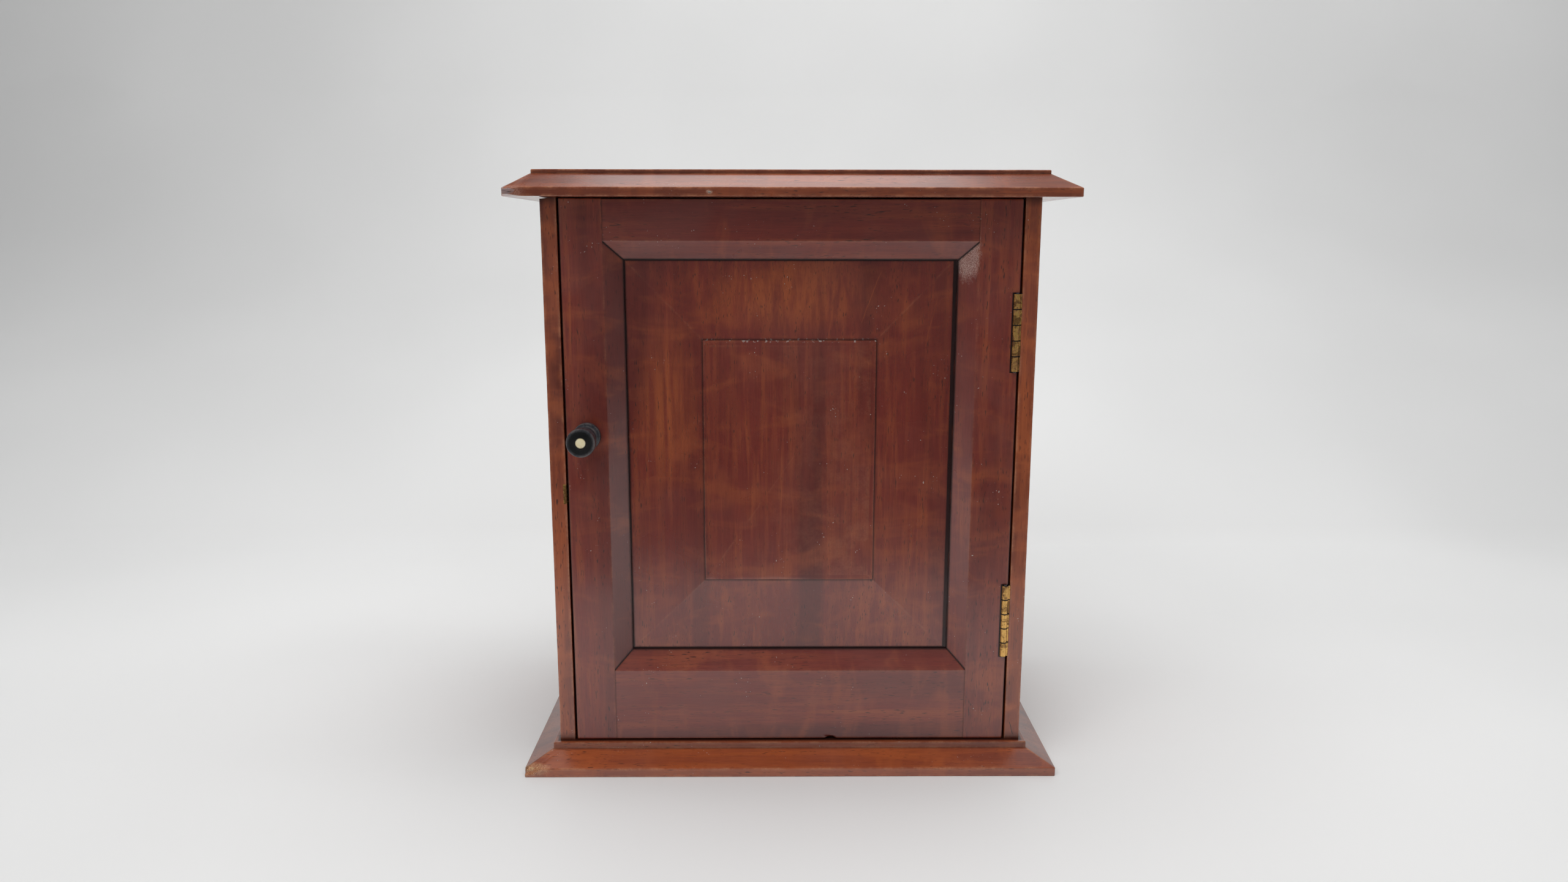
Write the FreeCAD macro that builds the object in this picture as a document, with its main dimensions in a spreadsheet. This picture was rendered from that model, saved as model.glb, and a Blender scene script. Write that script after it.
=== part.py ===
import FreeCAD, Part
import os
import Sketcher
from FreeCAD import Placement, Rotation, Vector

# Table-top jewellery armoire: a mahogany case with a moulded base and top, a raised-and-fielded
# door on two brass butt hinges, a turned ebony knob and a sprung bullet catch.
#
# Millimetres.  +X is to the right, +Y to the back, +Z up.  The origin is the centre of the base's
# underside.  Pieces are drawn from the case's front plane (Y = 0 in the drawing), and each one's
# Placement carries it back by Place.front.

OUTPUT = "parts"

# Driving sizes: alias, value, meaning.
SIZES = (
    ("carcase_width", 318.0, "outside width over the two sides"),
    ("carcase_depth", 196.0, "front plane to back, door included"),
    ("side_height", 367.3, "length of each side between base and top"),
    ("side_thickness", 10.3, "thickness of each side"),
    ("base_thickness", 17.1, "thickness of the base board"),
    ("base_overhang", 20.9, "base beyond the case at the front and sides"),
    ("base_edge", 6.0, "height of the base's square edge"),
    ("base_slope_top", 12.95, "height of the top of the base's slope"),
    ("base_quirk", 4.2, "base's raised field beyond the case"),
    ("top_thickness", 17.1, "thickness of the top board"),
    ("top_overhang", 20.4, "top beyond the case at the front and sides"),
    ("top_edge", 5.5, "height of the top's square edge"),
    ("top_slope_top", 14.6, "height of the top of the top board's slope"),
    ("top_quirk", 4.0, "top's raised field beyond the case"),
    ("back_thickness", 5.0, "thickness of the back panel"),
    ("back_rebate", 5.0, "width of the rebate for the back in each side"),
    ("back_gap", 0.2, "back panel short of its rebate"),
    ("door_thickness", 19.0, "thickness of the door frame"),
    ("door_gap", 1.2, "gap between the door's edge and each side"),
    ("door_foot_gap", 0.4, "gap under the door"),
    ("door_head_gap", 0.5, "gap over the door"),
    ("stile_flat", 27.3, "flat face of each stile outside the moulding"),
    ("head_flat", 26.5, "flat face of the top rail"),
    ("foot_flat", 50.3, "flat face of the bottom rail"),
    ("moulding_width", 11.8, "width of the bevel round the panel"),
    ("groove_lip", 1.4, "wood between the bevel's foot and the groove"),
    ("back_lip", 2.8, "wood behind the groove"),
    ("groove_width", 4.2, "width of the groove that holds the panel"),
    ("groove_depth", 6.0, "depth of that groove"),
    ("tenon_gap", 0.2, "stub tenon short of the groove's bottom"),
    ("tongue_thickness", 4.0, "panel's tongue in the groove"),
    ("panel_play", 1.2, "room left for the panel to move, each side"),
    ("panel_drift", -0.9, "how far the panel has settled to one side"),
    ("field_margin", 51.9, "bevel's foot to the panel's raised field"),
    ("field_depth", 4.2, "raised field behind the face of the frame"),
    ("field_step", 1.0, "square step round the raised field"),
    ("shelf_thickness", 8.0, "thickness of a shelf"),
    ("shelf_housing", 3.0, "shelf let into each side"),
    ("shelf_setback", 9.0, "front of the shelves behind the door"),
    ("lower_space", 80.0, "clear height under the lower shelf"),
    ("middle_space", 70.0, "clear height between the shelves"),
    ("lining_thickness", 1.2, "velvet on the floor and the shelves"),
    ("lining_margin", 1.0, "velvet short of the wood around it"),
    ("rail_width", 24.0, "height of the peg rail"),
    ("rail_thickness", 10.0, "thickness of the peg rail"),
    ("rail_drop", 12.0, "peg rail below the top"),
    ("peg_pitch", 44.0, "spacing of the necklace pegs"),
    ("peg_reach", 17.0, "peg in front of its rail"),
    ("peg_radius", 1.7, "shank of a peg"),
    ("peg_head_radius", 3.6, "head of a peg"),
    ("peg_head_length", 3.0, "thickness of a peg's head"),
    ("peg_sink", 7.0, "peg let into the rail"),
    ("stop_width", 30.0, "length of a door stop"),
    ("stop_section", 8.0, "thickness and height of a door stop"),
    ("stop_gap", 0.4, "door stop behind the closed door"),
    ("dowel_radius", 3.0, "dowels between the sides and the boards"),
    ("dowel_sink", 9.0, "dowel let into the base or top"),
    ("dowel_rise", 13.0, "dowel let into a side"),
    ("dowel_inset", 26.0, "end dowels from the front and the back"),
    ("screw_radius", 1.0, "shank of a small wood screw"),
    ("screw_head_radius", 2.0, "head of a small wood screw"),
    ("back_screw_length", 12.0, "back screw under its head"),
    ("back_screw_head", 1.2, "height of a back screw's head"),
    ("back_screw_end", 24.0, "end back screws from base and top"),
    ("leaf_thickness", 0.9, "brass of a hinge leaf"),
    ("leaf_height", 50.8, "height of a hinge"),
    ("leaf_depth", 13.0, "hinge leaf behind its pin"),
    ("knuckle_radius", 2.1, "outside of a hinge knuckle"),
    ("knuckle_gap", 0.15, "play between two knuckles"),
    ("knuckle_clearance", 0.4, "door wood clear of the knuckles"),
    ("pin_radius", 1.1, "hinge pin"),
    ("pin_clearance", 0.05, "hinge pin in the turning knuckles"),
    ("pin_proud", 0.4, "hinge pin's axis in front of the case"),
    ("pin_end", 0.4, "hinge pin past its knuckles at each end"),
    ("hinge_rise", 85.9, "bottom of the door to the lower hinge's middle"),
    ("hinge_drop", 84.8, "top of the door to the upper hinge's middle"),
    ("hinge_screw_pitch", 17.0, "spacing of a leaf's screws"),
    ("hinge_screw_length", 7.5, "hinge screw, head included"),
    ("knob_side", 13.9, "knob's axis from the door's closing edge"),
    ("knob_height", 231.4, "height of the knob's axis"),
    ("knob_reach", 26.4, "knob in front of the door"),
    ("knob_foot_radius", 9.0, "knob's collar on the door"),
    ("knob_foot", 3.0, "thickness of that collar"),
    ("knob_waist_radius", 7.0, "knob's narrowest part"),
    ("knob_bead_radius", 8.7, "ring behind the knob's face"),
    ("knob_bead", 2.4, "thickness of that ring"),
    ("knob_face_radius", 9.3, "knob's face"),
    ("knob_face", 6.2, "thickness of the knob's head"),
    ("knob_round", 0.7, "rounding of the knob's edges"),
    ("inlay_radius", 3.4, "bone inlay in the knob"),
    ("inlay_thickness", 2.0, "thickness of the inlay"),
    ("knob_screw_radius", 2.0, "machine screw that holds the knob"),
    ("knob_screw_sink", 15.0, "that screw in the knob"),
    ("knob_screw_head_radius", 3.8, "head of the knob's screw"),
    ("knob_screw_head", 2.4, "height of that head"),
    ("washer_radius", 5.5, "washer under the knob screw"),
    ("washer_thickness", 0.8, "thickness of that washer"),
    ("catch_height", 192.0, "height of the catch's axis"),
    ("catch_radius", 3.5, "outside of the catch barrel"),
    ("catch_bore", 2.6, "inside of the catch barrel"),
    ("catch_mouth", 2.1, "mouth that keeps the bullet in"),
    ("catch_rim_radius", 4.6, "flange of the catch barrel"),
    ("catch_rim", 0.7, "thickness of the flange and of the barrel's ends"),
    ("catch_length", 14.0, "length of the catch barrel"),
    ("bullet_shoulder_radius", 2.5, "bullet inside the barrel"),
    ("bullet_shoulder", 2.0, "length of the bullet's shoulder"),
    ("bullet_radius", 2.0, "bullet's nose"),
    ("bullet_rest", 0.8, "nose past the door's edge at rest"),
    ("bullet_travel", 1.4, "how much further the nose can come out"),
    ("bullet_clearance", 0.1, "bullet's shoulder off the mouth when right out"),
    ("spring_wire", 0.25, "radius of the catch spring's wire"),
    ("spring_radius", 1.8, "middle of the catch spring's coils"),
    ("spring_length", 6.0, "catch spring"),
    ("spring_turns", 6.0, "turns of the catch spring"),
    ("strike_height", 13.3, "height of the strike plate"),
    ("strike_thickness", 0.8, "brass of the strike plate"),
    ("strike_lip", 2.1, "strike plate on the side's front edge"),
    ("strike_depth", 15.0, "strike plate on the side's inner face"),
    ("strike_hole", 2.5, "hole that the bullet drops into"),
    ("strike_hole_depth", 2.6, "depth of that hole, plate included"),
    ("strike_pin_radius", 0.6, "pins of the strike plate"),
    ("strike_pin_length", 6.0, "length of those pins"),
    ("strike_pin_drop", 4.4, "strike pins above and below the hole"),
)

# Places worked out from the sizes.
PLACES = (
    ("front", "(Size.base_overhang - Size.carcase_depth) / 2", "case's front plane"),
    ("half", "Size.carcase_width / 2", "outside of a side"),
    ("inner", "half - Size.side_thickness", "inside of a side"),
    ("deck", "Size.base_thickness", "top of the base"),
    ("roof", "deck + Size.side_height", "underside of the top"),
    ("back_face", "Size.carcase_depth - Size.back_thickness", "inside of the back panel"),
    ("edge", "inner - Size.door_gap", "edge of the door"),
    ("foot", "deck + Size.door_foot_gap", "bottom of the door"),
    ("head", "roof - Size.door_head_gap", "top of the door"),
    ("sight", "edge - Size.stile_flat", "stile's joint with the rails"),
    ("mouth", "sight - Size.moulding_width", "inner edge of a stile"),
    ("foot_sight", "foot + Size.foot_flat", "top of the bottom rail's flat"),
    ("foot_mouth", "foot_sight + Size.moulding_width", "inner edge of the bottom rail"),
    ("head_sight", "head - Size.head_flat", "bottom of the top rail's flat"),
    ("head_mouth", "head_sight - Size.moulding_width", "inner edge of the top rail"),
    ("groove_back", "Size.door_thickness - Size.back_lip", "back of the groove"),
    ("groove_front", "groove_back - Size.groove_width", "front of the groove"),
    ("moulding_depth", "groove_front - Size.groove_lip", "fall of the bevel round the panel"),
    ("tongue_front", "groove_front + (Size.groove_width - Size.tongue_thickness) / 2", "tongue"),
    ("tongue_back", "tongue_front + Size.tongue_thickness", "back of the panel"),
    ("slope_top", "Size.field_depth + Size.field_step", "top of the fielding"),
    ("panel_half", "mouth + Size.groove_depth - Size.panel_play", "half the panel's width"),
    ("panel_foot", "foot_mouth - Size.groove_depth", "bottom of the panel"),
    ("panel_head", "head_mouth + Size.groove_depth - Size.panel_play", "top of the panel"),
    ("slope_half", "mouth - abs(Size.panel_drift)", "fielding's outer edge"),
    ("field_half", "mouth - Size.field_margin", "half the raised field's width"),
    ("shelf_front", "Size.door_thickness + Size.shelf_setback", "front of the shelves"),
    ("lower_shelf", "deck + Size.lower_space", "underside of the lower shelf"),
    ("upper_shelf", "lower_shelf + Size.shelf_thickness + Size.middle_space", "upper shelf"),
    ("rail_front", "back_face - Size.rail_thickness", "front of the peg rail"),
    ("rail_head", "roof - Size.rail_drop", "top of the peg rail"),
    ("rail_middle", "rail_head - Size.rail_width / 2", "height of the pegs"),
    ("pin_side", "edge - Size.knuckle_radius", "hinge pin, across"),
    ("hinge_foot", "foot + Size.hinge_rise", "middle of the lower hinge"),
    ("hinge_head", "head - Size.hinge_drop", "middle of the upper hinge"),
    ("leaf_back", "Size.leaf_depth - Size.pin_proud", "back edge of a hinge leaf"),
    ("knuckle_pitch", "Size.leaf_height / 5", "height of one knuckle"),
    ("knob_across", "Size.knob_side - edge", "knob's axis, across"),
    ("nose", "edge + Size.bullet_rest", "bullet's tip, across"),
    ("shoulder", "edge - Size.catch_rim - Size.bullet_travel - Size.bullet_clearance", "bullet"),
    ("spring_end", "shoulder - Size.bullet_shoulder", "front of the catch spring"),
    ("catch_middle", "Size.door_thickness / 2", "catch's axis behind the front plane"),
)

LEFT, RIGHT = -1, 1
FACING = {"XY_Plane": 1, "XZ_Plane": -1, "YZ_Plane": 1}
TURNED_TO = {
    "+X": Rotation(Vector(0, 1, 0), 90),
    "-X": Rotation(Vector(0, 1, 0), -90),
    "+Y": Rotation(Vector(1, 0, 0), -90),
    "-Y": Rotation(Vector(1, 0, 0), 90),
    "+Z": Rotation(),
}

doc = FreeCAD.newDocument("jewelry_armoire")
nodes = []
cuts = []


def write_sheet(name, rows, sign):
    """Fill a sheet with rows of (alias, content, meaning)."""
    sheet = doc.addObject("Spreadsheet::Sheet", name)
    for number, (alias, content, meaning) in enumerate(rows, start=1):
        sheet.set("A%d" % number, meaning)
        sheet.set("B%d" % number, sign + str(content))
        sheet.setAlias("B%d" % number, alias)
    doc.recompute()
    return sheet


sizes = write_sheet("Size", SIZES, "")
write_sheet("Place", PLACES, "=")


def value(expression):
    """The present value of an expression on the sheets."""
    return float(sizes.evalExpression(expression))


def times(sign, expression):
    """An expression on the left (-1) or right (+1) side of the case."""
    return "%d * (%s)" % (sign, expression)


def keep(piece, label):
    """Give a finished piece its name, which names its file."""
    piece.Label = label
    nodes.append(piece)
    return piece


# ---------------------------------------------------------------- drawing in a body

def new_body(name, across="0", back="0", up="0"):
    """A body whose own origin stands at a point given from the case's front plane."""
    body = doc.addObject("PartDesign::Body", name)
    body.setExpression("Placement.Base.x", across)
    body.setExpression("Placement.Base.y", "Place.front + " + back)
    body.setExpression("Placement.Base.z", up)
    return body


def new_sketch(body, plane, start):
    """A sketch on one of the body's own planes, moved along the axis across it to start."""
    drawing = body.newObject("Sketcher::SketchObject", body.Name + "_outline")
    support = [item for item in body.Origin.OriginFeatures if item.Role == plane][0]
    drawing.AttachmentSupport = [(support, "")]
    drawing.MapMode = "FlatFace"
    drawing.setExpression("AttachmentOffset.Base.z", times(FACING[plane], start))
    return drawing


def fix(drawing, kind, geometry, point, expression):
    """Tie one coordinate of a point to the sheets."""
    number = drawing.addConstraint(
        Sketcher.Constraint(kind, -1, 1, geometry, point, value(expression)))
    drawing.setExpression("Constraints[%d]" % number, expression)


def polygon(drawing, corners):
    """A closed outline through corners, each a pair of expressions."""
    spots = [Vector(value(across), value(up), 0) for across, up in corners]
    first = drawing.GeometryCount
    for number, spot in enumerate(spots):
        drawing.addGeometry(Part.LineSegment(spot, spots[(number + 1) % len(spots)]), False)
    for number, (across, up) in enumerate(corners):
        following = first + (number + 1) % len(corners)
        drawing.addConstraint(Sketcher.Constraint("Coincident", first + number, 2, following, 1))
        fix(drawing, "DistanceX", first + number, 1, across)
        fix(drawing, "DistanceY", first + number, 1, up)


def rectangle(drawing, low_across, high_across, low_up, high_up):
    polygon(drawing, ((low_across, low_up), (high_across, low_up),
                      (high_across, high_up), (low_across, high_up)))


def circle(drawing, across, up, radius):
    centre = Vector(value(across), value(up), 0)
    number = drawing.addGeometry(
        Part.Circle(centre, Vector(0, 0, 1), value(radius)), False)
    fix(drawing, "DistanceX", number, 3, across)
    fix(drawing, "DistanceY", number, 3, up)
    ring = drawing.addConstraint(Sketcher.Constraint("Radius", number, value(radius)))
    drawing.setExpression("Constraints[%d]" % ring, radius)


def extrude(body, kind, plane, start, end, draw):
    """Pad or pocket what draw() draws, from start to end along the axis across the plane."""
    before = body.Tip
    drawing = new_sketch(body, plane, start)
    draw(drawing)
    feature = body.newObject("PartDesign::" + kind, body.Name + "_" + kind.lower())
    feature.Profile = drawing
    feature.setExpression("Length", "(%s) - (%s)" % (end, start))
    feature.Reversed = (FACING[plane] < 0) == (kind == "Pad")
    if kind == "Pocket":
        cuts.append((feature, before))
    return feature


def pad_box(body, low, high):
    """A block between two corners, each three expressions."""
    return extrude(body, "Pad", "XY_Plane", low[2], high[2],
                   lambda drawing: rectangle(drawing, low[0], high[0], low[1], high[1]))


def pocket_box(body, low, high):
    return extrude(body, "Pocket", "XY_Plane", low[2], high[2],
                   lambda drawing: rectangle(drawing, low[0], high[0], low[1], high[1]))


def pad_rods(body, plane, start, end, centres, radius):
    """Round rods at centres, which are pairs of expressions."""
    return extrude(body, "Pad", plane, start, end,
                   lambda drawing: [circle(drawing, across, up, radius)
                                    for across, up in centres])


def bore(body, plane, start, end, centres, radius):
    return extrude(body, "Pocket", plane, start, end,
                   lambda drawing: [circle(drawing, across, up, radius)
                                    for across, up in centres])


def less(label, body, *tools):
    """A finished piece: body with the pieces that are let into it cut away."""
    tool = tools[0]
    if len(tools) > 1:
        tool = doc.addObject("Part::Compound", label + "_tools")
        tool.Links = list(tools)
    cut = doc.addObject("Part::Cut", label)
    cut.Base = body
    cut.Tool = tool
    cuts.append((cut, body))
    return keep(cut, label)


# ---------------------------------------------------------------- primitives

def turned(kind, name, way, place, **dimensions):
    """A Part primitive whose axis points along way, at place, with bound dimensions."""
    piece = doc.addObject("Part::" + kind, name)
    piece.Placement = Placement(Vector(), TURNED_TO[way])
    across, back, up = place
    for axis, expression in zip("xyz", (across, "Place.front + " + back, up)):
        piece.setExpression("Placement.Base." + axis, expression)
    for dimension, expression in dimensions.items():
        piece.setExpression(dimension, expression)
    return piece


def join(name, pieces):
    fused = doc.addObject("Part::MultiFuse", name)
    fused.Shapes = pieces
    return fused


def group(name, pieces):
    """Separate like pieces that share one node."""
    together = doc.addObject("Part::Compound", name)
    together.Links = pieces
    return together


def sunk_screw(name, way, place, head, length):
    """A countersunk wood screw whose flat head is at place and whose point goes along way."""
    cone = turned("Cone", name + "_head", way, place, Radius1="Size.screw_head_radius",
                  Radius2="Size.screw_radius", Height=head)
    shank = turned("Cylinder", name + "_shank", way, place, Radius="Size.screw_radius",
                   Height=length)
    return join(name, [cone, shank])


# ---------------------------------------------------------------- the case

def moulded_board(label, low, part):
    """A board with a square edge, a slope and a raised field at the front and both sides."""
    body = new_body(label + "_blank")

    def outline(overhang):
        reach = "Size.carcase_width / 2 + " + overhang
        return lambda drawing: rectangle(drawing, "-(%s)" % reach, reach,
                                         "-" + overhang, "Size.carcase_depth")

    def level(name):
        return "%s + Size.%s_%s" % (low, part, name)

    overhang = "Size.%s_overhang" % part
    quirk = "Size.%s_quirk" % part
    extrude(body, "Pad", "XY_Plane", low, level("edge"), outline(overhang))
    wide = new_sketch(body, "XY_Plane", level("edge"))
    outline(overhang)(wide)
    narrow = new_sketch(body, "XY_Plane", level("slope_top"))
    outline(quirk)(narrow)
    slope = body.newObject("PartDesign::AdditiveLoft", label + "_slope")
    slope.Profile = wide
    slope.Sections = [narrow]
    slope.Ruled = True
    extrude(body, "Pad", "XY_Plane", level("slope_top"), level("thickness"), outline(quirk))
    return body


def dowels(label, joint):
    """Three dowels on each side through the joint at height joint."""
    body = new_body(label)
    middle = "(Size.carcase_width - Size.side_thickness) / 2"
    rows = ("Size.dowel_inset", "Size.carcase_depth / 2",
            "Size.carcase_depth - Size.dowel_inset")
    below, above = "Size.dowel_sink", "Size.dowel_rise"
    if joint == "Place.roof":
        below, above = above, below
    pad_rods(body, "XY_Plane", "%s - %s" % (joint, below), "%s + %s" % (joint, above),
             [(times(side, middle), row) for side in (LEFT, RIGHT) for row in rows],
             "Size.dowel_radius")
    return keep(body, label)


def side(label, sign, *let_in):
    """One side: rebated for the back, housed for both shelves."""
    body = new_body(label + "_blank")
    pad_box(body, (times(sign, "Place.inner"), "0", "Place.deck"),
            (times(sign, "Place.half"), "Size.carcase_depth", "Place.roof"))
    pocket_box(body, (times(sign, "Place.inner"), "Place.back_face", "Place.deck"),
               (times(sign, "Place.inner + Size.back_rebate"), "Size.carcase_depth", "Place.roof"))
    for shelf in ("Place.lower_shelf", "Place.upper_shelf"):
        pocket_box(body, (times(sign, "Place.inner"), "Place.shelf_front", shelf),
                   (times(sign, "Place.inner + Size.shelf_housing"), "Place.back_face",
                    shelf + " + Size.shelf_thickness"))
    if sign == LEFT:
        bore(body, "YZ_Plane", "-(Place.inner + Size.strike_hole_depth)", "-Place.inner",
             [("Place.catch_middle", "Size.catch_height")], "Size.strike_hole")
    return less(label, body, *let_in)


def shelf(label, low):
    body = new_body(label)
    pad_box(body, ("-(Place.inner + Size.shelf_housing)", "Place.shelf_front", low),
            ("Place.inner + Size.shelf_housing", "Place.back_face",
             low + " + Size.shelf_thickness"))
    return keep(body, label)


def lining(label, low):
    """A velvet sheet laid on a shelf or on the base."""
    body = new_body(label)
    pad_box(body, ("Size.lining_margin - Place.inner", "Place.shelf_front + Size.lining_margin", low),
            ("Place.inner - Size.lining_margin", "Place.back_face - Size.lining_margin",
             low + " + Size.lining_thickness"))
    return keep(body, label)


def back_screws():
    """Round-headed screws that hold the back in the rebates of the sides."""
    across = "Place.inner + Size.back_rebate / 2"
    screws = []
    for sign in (LEFT, RIGHT):
        for row in range(4):
            up = ("Place.deck + Size.back_screw_end + "
                  "%d * (Size.side_height - 2 * Size.back_screw_end) / 3" % row)
            place = (times(sign, across), "Size.carcase_depth", up)
            name = "back_screw_%d_%d" % (sign + 1, row)
            shank = turned("Cylinder", name + "_shank", "-Y", place, Radius="Size.screw_radius",
                           Height="Size.back_screw_length")
            dome = turned("Cone", name + "_head", "+Y", place, Radius1="Size.screw_head_radius",
                          Radius2="Size.screw_radius", Height="Size.back_screw_head")
            screws.append(join(name, [shank, dome]))
    return keep(group("back_screws", screws), "back_screws")


def peg_places():
    return [("%g * Size.peg_pitch" % (number - 2.5)) for number in range(6)]


def necklace_pegs():
    """Six turned pegs with mushroom heads, let into the rail."""
    pegs = []
    for number, across in enumerate(peg_places()):
        name = "necklace_peg_%d" % number
        root = (across, "Place.rail_front + Size.peg_sink", "Place.rail_middle")
        tip = (across, "Place.rail_front - Size.peg_reach + Size.peg_head_length",
               "Place.rail_middle")
        shank = turned("Cylinder", name + "_shank", "-Y", root, Radius="Size.peg_radius",
                       Height="Size.peg_sink + Size.peg_reach - Size.peg_head_length")
        flare = turned("Cone", name + "_flare", "+Y", tip, Radius1="Size.peg_head_radius",
                       Radius2="Size.peg_radius", Height="Size.peg_head_length")
        head = turned("Cylinder", name + "_head", "-Y", tip, Radius="Size.peg_head_radius",
                      Height="Size.peg_head_length")
        pegs.append(join(name, [shank, flare, head]))
    return keep(group("necklace_pegs", pegs), "necklace_pegs")


def peg_rail(pegs):
    body = new_body("peg_rail_blank")
    pad_box(body, ("-Place.inner", "Place.rail_front", "Place.rail_head - Size.rail_width"),
            ("Place.inner", "Place.back_face", "Place.rail_head"))
    return less("peg_rail", body, pegs)


def door_stops():
    """Two blocks behind the closing stile, one on the base and one under the top."""
    body = new_body("door_stops")
    near = "Size.door_thickness + Size.stop_gap"
    for low in ("Place.deck", "Place.roof - Size.stop_section"):
        pad_box(body, ("-Place.inner", near, low),
                ("Size.stop_width - Place.inner", near + " + Size.stop_section",
                 low + " + Size.stop_section"))
    return keep(body, "door_stops")


# ---------------------------------------------------------------- the strike and the catch

def strike_plate(pins):
    """An angle of sheet brass: a lip on the front edge, a drilled plate on the inner face."""
    body = new_body("strike_plate_blank")
    low = "Size.catch_height - Size.strike_height / 2"
    high = "Size.catch_height + Size.strike_height / 2"
    pad_box(body, ("-(Place.inner + Size.strike_thickness)", "0", low),
            ("-Place.inner", "Size.strike_depth", high))
    pad_box(body, ("-(Place.inner + Size.strike_lip)", "0", low),
            ("-Place.inner", "Size.strike_thickness", high))
    bore(body, "YZ_Plane", "-(Place.inner + Size.strike_thickness)", "-Place.inner",
         [("Place.catch_middle", "Size.catch_height")], "Size.strike_hole")
    return less("strike_plate", body, pins)


def strike_pins():
    body = new_body("strike_pins")
    pad_rods(body, "YZ_Plane", "-(Place.inner + Size.strike_pin_length)", "-Place.inner",
             [("Place.catch_middle", "Size.catch_height + %d * Size.strike_pin_drop" % sign)
              for sign in (-1, 1)], "Size.strike_pin_radius")
    return keep(body, "strike_pins")


def catch_axis(across):
    return (across, "Place.catch_middle", "Size.catch_height")


def catch_barrel():
    """A closed brass tube with a flange, and a mouth smaller than its bore."""
    body = new_body("catch_barrel")
    axis = [("Place.catch_middle", "Size.catch_height")]
    pad_rods(body, "YZ_Plane", "-Place.edge", "Size.catch_length - Place.edge", axis,
             "Size.catch_radius")
    pad_rods(body, "YZ_Plane", "-Place.edge", "Size.catch_rim - Place.edge", axis,
             "Size.catch_rim_radius")
    bore(body, "YZ_Plane", "-Place.edge", "Size.catch_rim - Place.edge", axis,
         "Size.catch_mouth")
    bore(body, "YZ_Plane", "Size.catch_rim - Place.edge",
         "Size.catch_length - Size.catch_rim - Place.edge", axis, "Size.catch_bore")
    return keep(body, "catch_barrel")


def catch_bullet():
    """A round-nosed plunger with a shoulder that the barrel's mouth keeps in."""
    shoulder = turned("Cylinder", "bullet_shoulder", "-X",
                      catch_axis("Size.bullet_shoulder - Place.shoulder"),
                      Radius="Size.bullet_shoulder_radius", Height="Size.bullet_shoulder")
    shank = turned("Cylinder", "bullet_shank", "-X",
                   catch_axis("Size.bullet_shoulder - Place.shoulder"),
                   Radius="Size.bullet_radius",
                   Height="Place.nose - Place.shoulder + Size.bullet_shoulder"
                          " - Size.bullet_radius")
    nose = turned("Sphere", "bullet_nose", "-X",
                  catch_axis("Size.bullet_radius - Place.nose"), Radius="Size.bullet_radius")
    return keep(join("catch_bullet", [shoulder, shank, nose]), "catch_bullet")


def catch_spring():
    """A compression spring behind the bullet, wound along the catch's axis."""
    body = new_body("catch_spring", *catch_axis("-Place.spring_end"))
    drawing = new_sketch(body, "XY_Plane", "0")
    circle(drawing, "Size.spring_wire", "Size.spring_radius", "Size.spring_wire")
    coil = body.newObject("PartDesign::AdditiveHelix", "catch_spring_coil")
    coil.Profile = drawing
    coil.ReferenceAxis = (drawing, ["H_Axis"])
    coil.Mode = "height-turns-angle"
    coil.setExpression("Height", "Size.spring_length - 2 * Size.spring_wire")
    coil.setExpression("Turns", "Size.spring_turns")
    return keep(body, "catch_spring")


# ---------------------------------------------------------------- the hinges

def knuckle_spans(middle, numbers):
    """Low and high expressions of the given knuckles, counted from the bottom."""
    spans = []
    for number in numbers:
        low = "%s + %g * Place.knuckle_pitch" % (middle, number - 2.5)
        spans.append(("%s + Size.knuckle_gap / 2" % low,
                      "%s + Place.knuckle_pitch - Size.knuckle_gap / 2" % low))
    return spans


PIN_AXIS = [("Place.pin_side", "-Size.pin_proud")]


def leaf_span(middle):
    return middle + " - Size.leaf_height / 2", middle + " + Size.leaf_height / 2"


def door_leaf(label, middle, numbers, screws):
    """The leaf let into the door's edge, cut back beside the other leaf's knuckles."""
    body = new_body(label + "_blank")
    low, high = leaf_span(middle)
    pad_box(body, ("Place.edge - Size.leaf_thickness", "-Size.pin_proud", low),
            ("Place.edge", "Place.leaf_back", high))
    for start, end in knuckle_spans(middle, [n for n in range(5) if n not in numbers]):
        pocket_box(body, ("Place.edge - Size.leaf_thickness", "-Size.pin_proud",
                          start + " - Size.knuckle_gap"),
                   ("Place.edge", "Size.knuckle_radius + Size.knuckle_clearance"
                    " - Size.pin_proud", end + " + Size.knuckle_gap"))
    for start, end in knuckle_spans(middle, numbers):
        pad_rods(body, "XY_Plane", start, end, PIN_AXIS, "Size.knuckle_radius")
    bore(body, "XY_Plane", low, high, PIN_AXIS, "Size.pin_radius + Size.pin_clearance")
    return less(label, body, screws)


def case_leaf(label, middle, numbers, screws):
    """The leaf planted on the side's inner face, in the gap beside the door."""
    body = new_body(label + "_blank")
    low, high = leaf_span(middle)
    pad_box(body, ("Place.inner - Size.leaf_thickness", "0", low),
            ("Place.inner", "Place.leaf_back", high))
    for start, end in knuckle_spans(middle, numbers):
        pad_rods(body, "XY_Plane", start, end, PIN_AXIS, "Size.knuckle_radius")
        pad_box(body, ("Place.pin_side + Size.pin_radius", "-Size.pin_proud", start),
                ("Place.inner", "Size.leaf_thickness - Size.pin_proud", end))
    bore(body, "XY_Plane", low, high, PIN_AXIS, "Size.pin_radius")
    return less(label, body, screws)


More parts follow.
